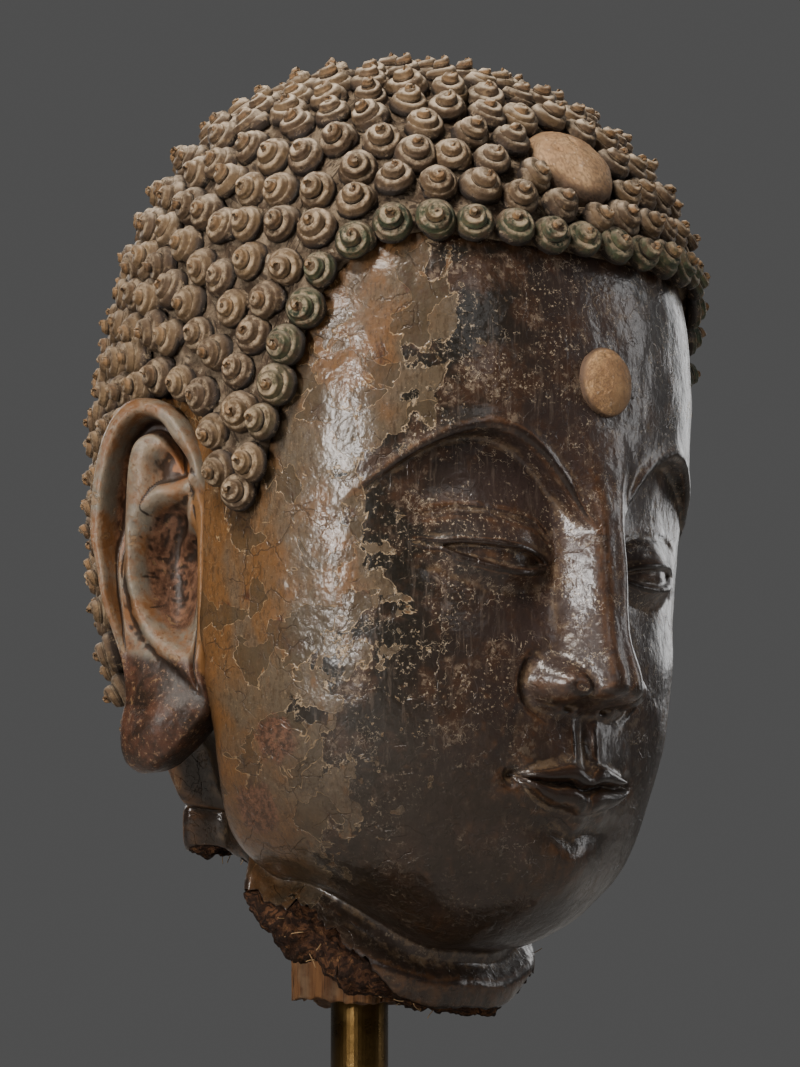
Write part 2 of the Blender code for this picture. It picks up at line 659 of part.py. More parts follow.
def dome_profile(radius, rise, seat):
    """A rounded cap over a straight seat."""
    arc = [math.pi / 2 * k / 5 for k in range(6)]
    cap = [(radius * math.sin(a), rise * math.cos(a)) for a in arc]
    return cap + [(radius, -seat), (0.0, -seat)]


def standing_on(point, normal):
    """A frame at a point of the head with Z along the normal there."""
    turn = Vector(normal).to_track_quat("Z", "Y").to_matrix().to_4x4()
    return Matrix.Translation(Vector(point)) @ turn


def urna_place():
    t = way_at_height(URNA_Z)
    angle = np.array([0.0])
    return standing_on(skin(angle, t)[0], outward(angle, t)[0])


def jewel_place():
    centre = jewel_centre()
    return standing_on(centre, (centre - SKULL) / np.linalg.norm(centre - SKULL))


def wooden_post(name, where, extra, finish=None):
    """The squared stump, its lower end broken unevenly; extra is added all round for its pocket."""
    bm = bmesh.new()
    bmesh.ops.create_cube(bm, size=1)
    bmesh.ops.subdivide_edges(bm, edges=bm.edges, cuts=3, use_grid_fill=True)
    for vert in bm.verts:
        x, y, z = vert.co
        broken = 0.004 * math.sin(7 * x + 1.3) + 0.003 * math.sin(9 * y) if z < -0.49 else 0.0
        low = WOOD_BOTTOM - extra
        high = WOOD_TOP + extra
        vert.co.x = x * (WOOD_SIZE[0] + 2 * extra)
        vert.co.y = y * (WOOD_SIZE[1] + 2 * extra)
        vert.co.z = low + (z + 0.5) * (high - low) + broken
    made = object_from(name, bm, where, finish)
    made.rotation_euler.z = WOOD_TURN
    return made


def rod_shape(name, where, radius, low, high, finish=None):
    bpy.ops.mesh.primitive_cylinder_add(
        vertices=48, radius=radius, depth=high - low, location=(0, 0, (high + low) / 2)
    )
    made = bpy.context.object
    made.name = made.data.name = name
    for other in made.users_collection:
        other.objects.unlink(made)
    where.objects.link(made)
    if finish:
        made.data.materials.append(finish)
    made.data.shade_smooth()
    made.data.set_sharp_from_angle(angle=math.radians(40))
    return made


def foot_plate(where, finish):
    """A square plate with eased edges and a shallow socket for the rod."""
    bm = bmesh.new()
    bmesh.ops.create_cube(bm, size=1)
    bmesh.ops.scale(bm, vec=(FOOT_SIDE, FOOT_SIDE, FOOT_THICK), verts=bm.verts)
    bmesh.ops.translate(bm, vec=(0, 0, FOOT_THICK / 2), verts=bm.verts)
    made = object_from("mount_foot", bm, where, finish)
    eased = made.modifiers.new("eased edges", "BEVEL")
    eased.width = 0.002
    eased.segments = 2
    return made


def build():
    for old in list(bpy.data.objects):
        bpy.data.objects.remove(old, do_unlink=True)
    parts = collection("painted_clay_buddha_head")
    guides = collection("cutters and fused shapes")
    clay = material("painted clay", (0.12, 0.085, 0.065), 0.45)
    boss_clay = material("orange clay", (0.36, 0.19, 0.08), 0.65)
    jewel_clay = material("buff clay", (0.45, 0.30, 0.19), 0.7)
    wood = material("old pine", (0.24, 0.12, 0.05), 0.85)
    bronze = material("satin bronze", (0.36, 0.25, 0.12), 0.35, 1.0)

    pose = bpy.data.objects.new("head frame", None)
    parts.objects.link(pose)
    pose.matrix_world = head_matrix()

    head = object_from("head", clay_core(), parts, clay)
    head.parent = pose
    thin_out(head, CORE_FACES_KEPT)
    shapes = {"curl cap": curl_cap(), "right ear": ear(-1), "left ear": ear(1)}
    for name, shape in shapes.items():
        made = as_guide(object_from(name, shape, guides))
        made.parent = pose
        if name.endswith("ear"):
            thin_out(made, EAR_FACES_KEPT)
        boolean(head, made, "UNION")

    bosses = (
        ("urna", urna_place(), (URNA_R, URNA_RISE, URNA_SEAT), URNA_JOINT, boss_clay),
        ("hair_jewel", jewel_place(), (JEWEL_R, JEWEL_RISE, JEWEL_SEAT), GAP, jewel_clay),
    )
    for name, place, (radius, rise, seat), joint, finish in bosses:
        boss = turned(name, dome_profile(radius, rise, seat), parts, DOME_STEPS)
        boss.data.materials.append(finish)
        bed = turned(
            f"{name} bed", dome_profile(radius + joint, rise + joint, seat + GAP), guides, DOME_STEPS
        )
        for made in (boss, bed):
            made.parent = pose
            made.matrix_local = place
        boolean(head, as_guide(bed), "DIFFERENCE")

    core = wooden_post("wood_core", parts, 0.0, wood)
    boolean(head, as_guide(wooden_post("core pocket", guides, GAP)), "DIFFERENCE")
    bore = rod_shape("rod bore", guides, ROD_R + GAP, 0.1, ROD_TOP + GAP)
    boolean(core, as_guide(bore), "DIFFERENCE")
    rod_foot = FOOT_THICK - FOOT_SOCKET
    rod_shape("mount_rod", parts, ROD_R, rod_foot + GAP, ROD_TOP, bronze)
    foot = foot_plate(parts, bronze)
    socket = rod_shape("rod socket", guides, ROD_R + GAP, rod_foot, 0.1)
    boolean(foot, as_guide(socket), "DIFFERENCE")


build()
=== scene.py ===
"""The finished looks of a painted clay buddha head on a rod: carved face, ears, snail-shell curls, crusted
scalp, broken neck, wooden core and metal stand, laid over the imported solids. Metres, +Z up, face to -Y."""

import math

import bpy
import numpy as np
from mathutils import Matrix, Vector


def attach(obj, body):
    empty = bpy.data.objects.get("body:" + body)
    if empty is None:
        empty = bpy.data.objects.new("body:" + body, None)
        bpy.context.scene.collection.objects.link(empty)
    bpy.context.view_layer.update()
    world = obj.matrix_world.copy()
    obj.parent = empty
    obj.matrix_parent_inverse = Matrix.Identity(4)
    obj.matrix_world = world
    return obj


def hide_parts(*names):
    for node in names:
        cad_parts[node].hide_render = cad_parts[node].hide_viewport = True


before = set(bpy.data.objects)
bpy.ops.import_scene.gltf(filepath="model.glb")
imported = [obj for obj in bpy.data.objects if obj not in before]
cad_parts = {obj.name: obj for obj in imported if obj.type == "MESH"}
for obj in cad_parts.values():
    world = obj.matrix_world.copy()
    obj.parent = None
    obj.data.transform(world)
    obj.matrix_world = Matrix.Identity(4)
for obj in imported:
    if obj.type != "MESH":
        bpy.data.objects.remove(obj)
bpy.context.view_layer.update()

FULL_TURN = 2 * math.pi

# --- sizes of the head, in its own upright frame -------------------------------------------------------
FACE = 0.390  # hairline to chin, in three equal thirds
THIRD = FACE / 3
HAIRLINE_Z = 0.195
BROW_Z = HAIRLINE_Z - THIRD
NOSE_Z = BROW_Z - THIRD
CHIN_Z = NOSE_Z - THIRD
EYE_WIDTH = 0.062
EYE_Z = BROW_Z - 0.36 * THIRD
EYE_X = EYE_WIDTH
MOUTH_Z = NOSE_Z - 0.34 * THIRD
MOUTH_HALF = 0.68 * EYE_WIDTH
NOSE_ROOT = 0.010  # how far the ridge of the nose stands out between the brows
NOSE_GROWTH = 0.026  # and how much further at its tip
WING_X = 0.0245
NOSTRIL_X = 0.0135
BROW_TOP_X = 0.074
UPPER_LIP = 0.0135
LOWER_LIP = 0.0160
CHEEK_X = 0.088
NOD = math.radians(9)
HEAD_PLACE = np.array([0.0, -0.036, 0.437])
SKULL = np.array([0.0, 0.010, 0.080])

CURL_PITCH = 0.0235
CURL_CROWDED = 0.80  # of the pitch: the least between two curls of the hairline's row
CURL_ROOM = 0.92  # of the pitch: the least between curls as they are set
HAIR_LIFT = 0.0055
CURL_HEIGHT = 0.0185
HAIR_SEED = 7
HAIR_ROUNDS = 6
HAIR_SAMPLES = (240, 150)
JEWEL_R = 0.031
JEWEL_UP = math.radians(55)

LEVELS = np.array([  # height, half width, depth before and behind the ear line, half width behind the jaw
    (0.300, 0.000, 0.000, 0.000, 0.000),
    (0.289, 0.073, 0.060, 0.085, 0.073),
    (0.254, 0.123, 0.104, 0.142, 0.123),
    (HAIRLINE_Z, 0.150, 0.142, 0.178, 0.150),
    (0.130, 0.158, 0.160, 0.191, 0.158),
    (BROW_Z, 0.160, 0.166, 0.193, 0.160),
    (EYE_Z, 0.160, 0.167, 0.184, 0.160),
    (-0.030, 0.159, 0.168, 0.165, 0.159),
    (NOSE_Z, 0.156, 0.168, 0.144, 0.156),
    (-0.110, 0.150, 0.167, 0.121, 0.146),
    (-0.142, 0.141, 0.163, 0.112, 0.136),
    (-0.175, 0.126, 0.152, 0.108, 0.128),
    (CHIN_Z - 0.003, 0.108, 0.133, 0.106, 0.122),
    (-0.210, 0.092, 0.112, 0.105, 0.118),
    (-0.213, 0.086, 0.096, 0.105, 0.116),
    (-0.220, 0.094, 0.092, 0.104, 0.117),
    (-0.233, 0.104, 0.100, 0.103, 0.117),
    (-0.248, 0.098, 0.096, 0.100, 0.112),
    (-0.252, 0.070, 0.072, 0.074, 0.080),
    (-0.232, 0.000, 0.000, 0.000, 0.000),
])
NECK_FIRST = 14  # the level at which the rows of the neck begin
REAR = (1.26, 1.75)  # radians round, where the half width gives way to the one behind the jaw
SQUARENESS = 2.25
NAPE_SQUARENESS = 1.9
JAW_HOLLOW = 0.24  # of the half width, drawn in between the jaw and the nape

HAIRLINE = np.array([  # degrees round from the front, height
    (0, HAIRLINE_Z), (42, HAIRLINE_Z), (55, 0.186), (65, 0.160), (71, 0.118), (75, 0.060), (78, 0.030),
    (82, 0.030), (86, 0.064), (91, 0.092), (104, 0.098), (112, 0.060), (120, -0.030), (130, -0.096),
    (145, -0.118), (180, -0.122),
])


# --- curves and noise ----------------------------------------------------------------------------------
def way_down(levels):
    """How far along its profile each level lies, from 0 at the crown to 1: the lengths of the straight
    steps between levels, summed from the crown and divided by their total."""
    run = np.hypot(np.diff(levels[:, 0]), np.diff(levels[:, 1:4].mean(axis=1)))
    along = np.concatenate(([0.0], np.cumsum(run)))
    return along / along[-1]


WAY = way_down(LEVELS)


def smooth(knots, values, t):
    """A cubic through values at knots: in each span, the two values and the two slopes weighted by
    Hermite's blends. A knot's slope is taken from its neighbours."""
    slope = np.gradient(values, knots)
    i = np.clip(np.searchsorted(knots, t, side="right") - 1, 0, len(knots) - 2)
    step = knots[i + 1] - knots[i]
    s = (t - knots[i]) / step
    return (
        values[i] * (1 + 2 * s) * (1 - s) ** 2
        + slope[i] * step * s * (1 - s) ** 2
        + values[i + 1] * s * s * (3 - 2 * s)
        + slope[i + 1] * step * s * s * (s - 1)
    )


def bump(d, width):
    """One at d = 0, falling softly to nothing about two widths away: e to the power of minus the square of
    d / width."""
    return np.exp(-((d / width) ** 2))


def flat_bump(d, width):
    """As bump, with the fourth power in place of the square: a flat top and steeper sides."""
    return np.exp(-((d / width) ** 4))


def ramp(d, lowest, highest):
    """Nought below lowest, one above highest, and between them s squared times 3 - 2 s, where s is the
    share of the way."""
    s = np.clip((d - lowest) / (highest - lowest), 0, 1)
    return s * s * (3 - 2 * s)


def unit(vectors):
    """Each vector divided by its length."""
    return vectors / np.linalg.norm(vectors, axis=-1, keepdims=True)


def lattice_value(i, j, k, seed):
    """A fixed random number from -1 to 1 for each whole-number place: its coordinates and the seed, each
    times a large number, have their bits mixed together, and the last sixteen are scaled."""
    h = (i * 73856093) ^ (j * 19349663) ^ (k * 83492791) ^ (seed * 2654435761)
    h = (h ^ (h >> 13)) * 1274126177
    h = (h ^ (h >> 16)) & 0xFFFF
    return h / 32767.5 - 1


def noise(points, size, seed=0, layers=3, rough=0.5):
    """Soft lumps about one size across, with finer layers, each half as wide and weaker by rough: values
    at the corners of a lattice, weighted by how near each corner is along every axis."""
    total = np.zeros(points.shape[:-1])
    strength = 1.0
    for layer in range(layers):
        at = points / (size / 2 ** layer) + 31.7 * (layer + 1)
        low = np.floor(at).astype(np.int64)
        f = at - low
        f = f * f * (3 - 2 * f)
        value = 0.0
        for corner in range(8):
            a, b, c = corner & 1, corner >> 1 & 1, corner >> 2 & 1
            weight = (
                (f[..., 0] if a else 1 - f[..., 0])
                * (f[..., 1] if b else 1 - f[..., 1])
                * (f[..., 2] if c else 1 - f[..., 2])
            )
            there = lattice_value(low[..., 0] + a, low[..., 1] + b, low[..., 2] + c, seed + layer)
            value = value + weight * there
        total = total + strength * value
        strength *= rough
    return total


# --- the face ------------------------------------------------------------------------------------------
def ridge_half(z):
    """Half the width of the nose's ridge: a least width, plus the square of the way down to the tip, plus
    a power of the way up into the brows."""
    down = np.clip((BROW_Z - z) / THIRD, -0.3, 1.1)
    return 0.0095 + 0.0045 * np.clip(down, 0, 1) ** 2 + 0.020 * np.clip(0.22 - down, 0, 1) ** 1.5


def nose_rise(x, z):
    """A straight ridge that widens and rises to a round tip, with a wing on each side and hollow nostrils.
    The ridge's height grows evenly with the way down and falls off sideways by one over one plus a power
    of the distance; a wing is a soft step of the distance from its middle; the larger of the two stands,
    and bumps add the tip and take away the fold and the nostrils."""
    far = np.abs(x)
    down = np.clip((BROW_Z - z) / THIRD, 0, 1.05)
    base = ramp(z, NOSE_Z - 0.005 - 0.10 * far, NOSE_Z + 0.015 - 0.10 * far)
    ridge = (NOSE_ROOT + NOSE_GROWTH * down) * base * (1 - ramp(z, BROW_Z - 0.015, BROW_Z + 0.050))
    across = 1 / (1 + (far / (ridge_half(z) * 1.55)) ** 4.2)
    tip = 0.0020 * bump(np.hypot(x * 0.85, z - NOSE_Z - 0.0185), 0.0190) * base
    away = np.hypot((far - WING_X) / 1.05, z - NOSE_Z - 0.0135)
    wing = 0.0195 * (1 - ramp(away, 0.004, 0.0185)) * ramp(z, NOSE_Z - 0.0035, NOSE_Z + 0.005)
    fold = -0.0030 * bump(away - 0.0185, 0.0030) * ramp(far, 0.022, 0.032)
    fill = 0.0050 * bump(np.hypot((far - 0.014) * 0.75, z - NOSE_Z - 0.020), 0.018) * base
    nostril = -0.011 * bump(np.hypot((far - NOSTRIL_X) / 1.35, (z - NOSE_Z - 0.0020) / 0.85), 0.0042)
    return np.maximum(ridge * across + tip, wing + 0.25 * ridge * across) + fold + fill + nostril


def brow_height(far):
    """The arch of the brow: it springs from the root of the nose, and falls away from its highest place,
    over the eye, by a power of the distance."""
    return BROW_Z + 0.025 - 0.052 * (np.abs(far - BROW_TOP_X) / 0.064) ** 1.9


def lid_lines(far):
    """The heights of the edges of the upper and lower lid across one eye: a bow above, a shallower one
    below, the outer corner a little higher. With s from -1 to 1 across the eye, each is a share of a power
    of 1 - s squared, and a little of s itself."""
    s = np.clip((far - EYE_X) / (EYE_WIDTH / 2), -1, 1)
    open_share = (1 - s * s) ** 0.85
    upper = EYE_Z - 0.0010 + 0.0052 * open_share * (1 + 0.30 * s * s) + 0.0022 * s
    lower = EYE_Z - 0.0010 - 0.0058 * open_share + 0.0022 * s
    return upper, lower


def eye_rise(x, z):
    """The hollow under a crisp brow, the swell of the eyeball under a heavy upper lid with its fold, the
    narrow opening with the ball set back in it, and the rim of the lower lid: a sum of bumps and soft
    steps of the distances from the arch, from the two lid lines and from the middle of the ball."""
    far = np.abs(x)
    arch = brow_height(far)
    beside = ramp(far - ridge_half(z), 0.000, 0.016)
    under = ramp(arch - z, 0.0, 0.0075) * ramp(z, EYE_Z - 0.056, EYE_Z + 0.006)
    hollow = -0.0135 * under * beside * (1 - ramp(far, 0.080, 0.148))
    edge = 0.0022 * bump(z - arch - 0.0025, 0.0050) * ramp(far, 0.012, 0.030) * (1 - ramp(far, 0.108, 0.138))
    ball = 0.0185 * bump(np.hypot((far - EYE_X - 0.001) * 0.66, z - EYE_Z - 0.001), 0.0215)
    upper, lower = lid_lines(far)
    across = ramp(EYE_WIDTH / 2 - np.abs(far - EYE_X), -0.003, 0.008)
    long = ramp(EYE_WIDTH / 2 + 0.010 - np.abs(far - EYE_X - 0.004), -0.002, 0.014)
    fold = -0.0022 * bump(z - upper - 0.0145 - 0.004 * long, 0.0019) * long
    lip = 0.0014 * bump(z - upper - 0.0022, 0.0022) * long
    rim = 0.0016 * bump(z - lower + 0.0028, 0.0024) * across
    inside = ramp(upper - z, -0.0006, 0.0012) * ramp(z - lower, -0.0008, 0.0016)
    inside = inside * ramp(EYE_WIDTH / 2 - np.abs(far - EYE_X), -0.001, 0.003)
    past = far - EYE_X
    tail = -0.0016 * bump(z - upper, 0.0014) * ramp(past, 0.026, 0.032) * (1 - ramp(past, 0.036, 0.046))
    below = -0.0025 * bump(z - lower + 0.0135, 0.0055) * long
    return hollow + edge + ball + fold + lip + rim - 0.0046 * inside + tail + below


def mouth_rise(x, z):
    """Two full lips with clear borders: a bow above, a fuller pillow below, a crease between with tucked
    corners, the groove from the nose and the dip above the chin. A lip is one minus a power of the way
    across it, under borders that taper to the corners; the rest are bumps of the distances from the line
    between the lips, from the corners and from the middle."""
    far = np.abs(x)
    s = np.clip(far / MOUTH_HALF, 0, 1)
    line = MOUTH_Z - 0.0016 * bump(far, 0.008) + 0.0012 * bump(far - 0.014, 0.008) + 0.0030 * s ** 4
    taper = np.clip(1 - s ** 2.1, 0, 1) ** 0.75
    top_edge = UPPER_LIP * taper - 0.0028 * bump(far, 0.0055) + 1e-4
    low_edge = LOWER_LIP * np.clip(1 - s ** 2.6, 0, 1) ** 0.8 + 1e-4
    up = np.clip((z - line) / top_edge, -0.5, 1.5)
    low = np.clip((line - z) / low_edge, -0.5, 1.5)
    near_edge = 1 - ramp(far, MOUTH_HALF - 0.003, MOUTH_HALF + 0.001)
    upper = 0.0070 * np.clip(1 - np.abs(2 * up - 0.92) ** 2.4, 0, 1) ** 0.9 * near_edge * (up > 0)
    lower = 0.0088 * np.clip(1 - np.abs(2 * low - 1.0) ** 2.3, 0, 1) ** 0.85 * near_edge * (low > 0)
    lower = lower * (1 - 0.22 * bump(far, 0.0040))
    border = 0.0010 * bump(z - line - top_edge, 0.0016) * near_edge
    crease = -0.0024 * bump(z - line, 0.0022) * (1 - ramp(far, MOUTH_HALF, MOUTH_HALF + 0.007))
    corner = -0.0050 * bump(np.hypot(far - MOUTH_HALF - 0.003, z - line), 0.0058)
    between = z - (NOSE_Z + MOUTH_Z) / 2
    groove = -0.0030 * bump(far, 0.0052) * bump(between - 0.004, 0.013)
    banks = 0.0013 * bump(far - 0.0085, 0.0036) * bump(between - 0.002, 0.013)
    dip = -0.0050 * bump(z - line + 0.0290 - 0.10 * far, 0.0070) * bump(far, 0.034)
    mound = 0.0105 * bump(np.hypot(far, (z - line) * 1.15), 0.046)
    return upper + lower + border + crease + corner + groove + banks + dip + mound


def chin_rise(x, z):
    """The round knob of the chin: a bump of the distance from its middle."""
    return 0.0115 * bump(np.hypot(x * 0.9, (z - CHIN_Z - 0.031) * 1.1), 0.030)


def cheek_rise(x, z):
    """A low fullness on each cheek, a bump of the distance from its middle, less a bump about the soft
    line that runs from the wing of the nose to the mouth."""
    far = np.abs(x)
    full = 0.0040 * bump(np.hypot((far - CHEEK_X) * 0.8, z + 0.072), 0.042)
    run = np.clip((NOSE_Z + 0.014 - z) / 0.062, 0, 1)
    line = 0.037 + 0.020 * run
    return full - 0.0016 * bump(far - line, 0.0075) * ramp(run, 0.0, 0.15) * (1 - ramp(run, 0.7, 1.0))


def face_rise(x, z):
    """All that stands out of the smooth egg of the face, towards -Y: the sum of its features."""
    return nose_rise(x, z) + eye_rise(x, z) + mouth_rise(x, z) + chin_rise(x, z) + cheek_rise(x, z)


# --- the ear, in its own plane: e towards the back, h up -----------------------------------------------
EAR_HEIGHT = 0.220
EAR_WIDTH = 0.086
EAR_FLARE = math.radians(24)
EAR_SLANT = 0.16  # the lobe lies this share of its depth further forward
EAR_PLACE = np.array([0.166, 0.027, -0.019])
EAR_THICK = 0.015
EAR_ROOT = 0.040  # how far the back of the ear reaches into the head
EAR_SEAT = 0.024  # how far the side of the head is drawn in below the bowl of the ear
EAR_RIDGE = (  # the ridge inside the rim, from the top of the ear down to the lobe: place and half width
    (0.0065, 0.0780, 0.0100), (0.0085, 0.0540, 0.0090), (0.0130, 0.0280, 0.0058),
    (0.0135, 0.0040, 0.0052), (0.0090, -0.0150, 0.0058), (0.0, -0.0285, 0.0066),
    (-0.0140, -0.0390, 0.0076), (-0.0300, -0.0510, 0.0085),
)
EAR_FORK = (  # its lower branch, to the rim in front
    (0.0080, 0.0450, 0.0060), (-0.0060, 0.0530, 0.0060), (-0.0180, 0.0580, 0.0055),
    (-0.0280, 0.0620, 0.0050),
)
EAR_HOOK = (  # the root of the rim, curling into the bowl
    (-0.0300, 0.0500, 0.0050), (-0.0240, 0.0380, 0.0050), (-0.0160, 0.0290, 0.0048),
    (-0.0060, 0.0210, 0.0045),
)

EAR_ORANGE = ((0.018, 0.072, 0.003), (0.020, 0.050, 0.0035), (0.021, 0.020, 0.003))  # bare clay by the ridge
EAR_FORK_MIDDLE = (-0.0150, 0.0710)
EAR_BOWL_MIDDLE = (-0.0115, 0.0110)


def ear_outline(turn):
    """The rim: broad above, waisted, and plump at the lobe. 0 is towards the back, a quarter turn is up.
    Across, a half width that changes with the height times a power of the cosine; up, half the height
    times the sine."""
    c, s = np.cos(turn), np.sin(turn)
    half = EAR_WIDTH / 2 * (0.93 + 0.10 * s - 0.12 * bump(s + 0.36, 0.22))
    waist = 1 - 0.12 * ramp(-s, -0.30, 0.0) * (1 - ramp(-s, 0.45, 0.75))
    half = half * np.where(c > 0, waist, 1 + 0.13 * ramp(s, 0.15, 0.60))
    return half * np.sign(c) * np.abs(c) ** 0.86, EAR_HEIGHT / 2 * s


def ear_shift(h):
    """How far towards the back a height of the ear lies: it slants forward by a share of the height, and a
    little more at the lobe, whose end swings back."""
    return EAR_SLANT * h - 0.006 * ramp(-h, 0.030, 0.070) + 0.45 * np.clip(-h - 0.070, 0, None)


def off_line(e, h, points):
    """How far a place lies from a bent line through points, in half widths of the line there: the least,
    over its straight pieces, of the distance to the nearest place on the piece over the half width
    there."""
    out = np.full(e.shape, 10.0)
    for a, b in zip(points, points[1:]):
        de, dh = b[0] - a[0], b[1] - a[1]
        along = np.clip(((e - a[0]) * de + (h - a[1]) * dh) / (de * de + dh * dh), 0, 1)
        away = np.hypot(e - a[0] - along * de, h - a[1] - along * dh)
        out = np.minimum(out, away / (a[2] + (b[2] - a[2]) * along))
    return out


def side_of_head(y, z):
    """How far out the smooth side of the head lies: the outline of skin, with its angle worked out from
    y."""
    t = way_at_height(z)
    wide, before, behind, wide_behind = (smooth(WAY, LEVELS[:, k], t) for k in range(1, 5))
    share = np.clip(y / np.where(y < 0, before, behind), -0.95, 0.95)
    far = np.arccos(-np.sign(share) * np.abs(share) ** (SQUARENESS / 2))
    return (wide + (wide_behind - wide) * ramp(far, *REAR)) * np.sin(far) ** (2 / SQUARENESS)


def ear_cheek(e, h):
    """How far a place on the ear belongs to the cheek: one at its front edge beside the bowl, else nought,
    as a product of soft steps."""
    return ramp(-e, 0.022, 0.034) * ramp(h, -0.062, -0.040) * (1 - ramp(h, 0.045, 0.068))


def ear_relief(e, h, share):
    """How far the front of the ear stands out of its plane: a thick rolled rim, a deep trough inside it
    that runs out into a groove, a forked ridge that sweeps down into the plump lobe, a hollow in the fork,
    and the bowl, with the root of the rim hooked into it. All are bumps, of the distance in from the rim,
    from a bent line or from a middle, and are summed. In front the sum is blended into the side of the
    head, so that the ear runs smoothly into the cheek."""
    across, up = EAR_WIDTH / 2, EAR_HEIGHT / 2
    turn = np.arctan2(h / up, e / across)
    turn = np.where(turn < -2.4, turn + FULL_TURN, turn)
    inside = (1 - share) * share / (np.hypot(e / across ** 2, h / up ** 2) + 1e-9)
    broad = 0.0118 - 0.0020 * ramp(turn, 2.0, 2.6)
    rolled = ramp(turn, -0.75, 0.05) * (1 - ramp(turn, 2.50, 2.80))
    rim = 0.0100 * flat_bump(inside - 0.46 * broad, 0.54 * broad) * rolled
    open_part = ramp(turn, 0.0, 0.55) * (1 - ramp(turn, 1.9, 2.25))
    wide = 0.0042 + 0.0020 * bump(turn - 0.75, 0.50)
    trough = -0.0140 * open_part * flat_bump(inside - broad - 0.9 * wide, wide)
    groove = -0.0030 * bump(inside - broad - 0.0010, 0.0020) * ramp(turn, -0.60, -0.25) * (1 - open_part)
    ridge = 0.0060 * np.exp(-off_line(e, h, EAR_RIDGE) ** 3)
    ridge = np.maximum(ridge, 0.0055 * np.exp(-off_line(e, h, EAR_FORK) ** 3))
    hook = 0.0090 * np.exp(-off_line(e, h, EAR_HOOK) ** 2) * ramp(-e, 0.004, 0.018)
    ahead = e - EAR_FORK_MIDDLE[0]
    fork = np.hypot(ahead / 0.0140, (h - EAR_FORK_MIDDLE[1] + 0.15 * ahead) / 0.0120)
    bowl = np.hypot((e - EAR_BOWL_MIDDLE[0]) / 0.0205, (h - EAR_BOWL_MIDDLE[1]) / 0.0370)
    shallower = 1 - 0.65 * ramp(-e, 0.002, 0.034) * ramp(-h, -0.040, 0.005)
    hollows = -0.0085 * flat_bump(fork, 1.0) - 0.0230 * flat_bump(bowl, 0.97) * shallower
    lobe = 0.0170 * bump(np.hypot((e + 0.003) / 0.029, (h + 0.082) / 0.034), 0.90)
    out = rim + trough + groove + ridge + hook + hollows + lobe
    level = out
    s, c = math.sin(EAR_FLARE), math.cos(EAR_FLARE)
    for _ in range(3):
        y = EAR_PLACE[1] + c * (e + ear_shift(h)) - s * level
        x = side_of_head(y, EAR_PLACE[2] + h)
        level = (x - EAR_PLACE[0] - s * (e + ear_shift(h))) / c
    return out + (level + 0.0008 - 0.0060 * ramp(share, 0.84, 1.0) - out) * ear_cheek(e, h)


def ear_seat(y, z):
    """How far the side of the head is drawn in to make room for the hollows of the ear: its full depth
    inside a smaller ellipse, with soft steps to nothing near the ear's edge."""
    h = z - EAR_PLACE[2]
    e = (y - EAR_PLACE[1]) / math.cos(EAR_FLARE) - ear_shift(h)
    share = np.hypot(e / (EAR_WIDTH / 2), h / (EAR_HEIGHT / 2))
    return EAR_SEAT * (1 - ramp(share, 0.80, 0.92)) * ramp(h, -0.060, -0.035) * ramp(e, -0.036, -0.024)


# --- neck and skin -------------------------------------------------------------------------------------
def neck_lift(angle):
    """The roll of the neck climbs from under the chin to below the ears, and behind them the neck is
    broken off higher still: two soft steps of the angle."""
    far = np.abs(angle)
    return 0.030 * ramp(far, 0.17, 1.31) + 0.047 * ramp(far, 1.36, 1.75)


def ragged(angle):
    """The uneven edge of the break round the neck: nearly smooth in front, then half the roll is torn
    away, and behind it is jagged. Four sine waves of the angle, weaker in front, and a soft dip at each
    side."""
    far = np.abs(angle)
    torn = 0.12 + 0.88 * ramp(far, 0.31, 1.08)
    waves = (
        0.0032 * np.sin(4 * angle + 0.6) + 0.0026 * np.sin(7 * angle + 4.1)
        + 0.0022 * np.sin(13 * angle + 1.3) + 0.0014 * np.sin(19 * angle + 2.0)
    )
    return torn * waves - 0.006 * ramp(far, 0.50, 0.78) * (1 - ramp(far, 1.31, 1.60))


def skin(angle, t):
    """Points on the head at an angle round it, 0 in front and positive to +X, and t of the way down: each
    level is a rounded square outline, its half sizes times powers of the sine and the cosine, with the
    face standing out in front and a hollow drawn in behind the jaw."""
    z, wide, before, behind, wide_behind = (smooth(WAY, LEVELS[:, k], t) for k in range(5))
    far = np.abs(angle)
    rear = ramp(far, *REAR)
    wide = wide + (wide_behind - wide) * rear
    s, c = np.sin(angle), np.cos(angle)
    drawn_in = (c < 0) * ramp(-z, 0.06, 0.12) * (1 - ramp(-z, 0.20, 0.22))
    power = 2 / (SQUARENESS + (NAPE_SQUARENESS - SQUARENESS) * drawn_in)
    hollow = 1 - JAW_HOLLOW * ramp(far, 1.44, 1.66) * (1 - ramp(far, 1.90, 2.12)) * ramp(-z, 0.060, 0.120)
    x = wide * np.sign(s) * np.abs(s) ** power * hollow
    y = -np.where(c > 0, before, behind) * np.sign(c) * np.abs(c) ** power
    first = WAY[10] + (WAY[9] - WAY[10]) * rear
    last = WAY[14] + (WAY[17] - WAY[14]) * rear
    z = z + ramp(t, first, last) * neck_lift(angle) + ragged(angle) * ramp(t, WAY[15], WAY[17])
    on_face = ramp(c, 0.0, 0.35) * (1 - ramp(t, WAY[NECK_FIRST - 3], WAY[NECK_FIRST - 1]))
    y = y - on_face * face_rise(x, z)
    x = x - np.sign(x) * ear_seat(y, z) * ramp(np.abs(x), 0.09, 0.11)
    return np.stack([x, y, z], axis=-1)


def outward(angle, t):
    """Unit normals of the skin, pointing out: the cross product of a small step down and one across."""
    step = 1e-3
    across = skin(angle + step, t) - skin(angle - step, t)
    down = skin(angle, np.minimum(t + step, 1)) - skin(angle, np.maximum(t - step, 1e-4))
    return unit(np.cross(down, across))


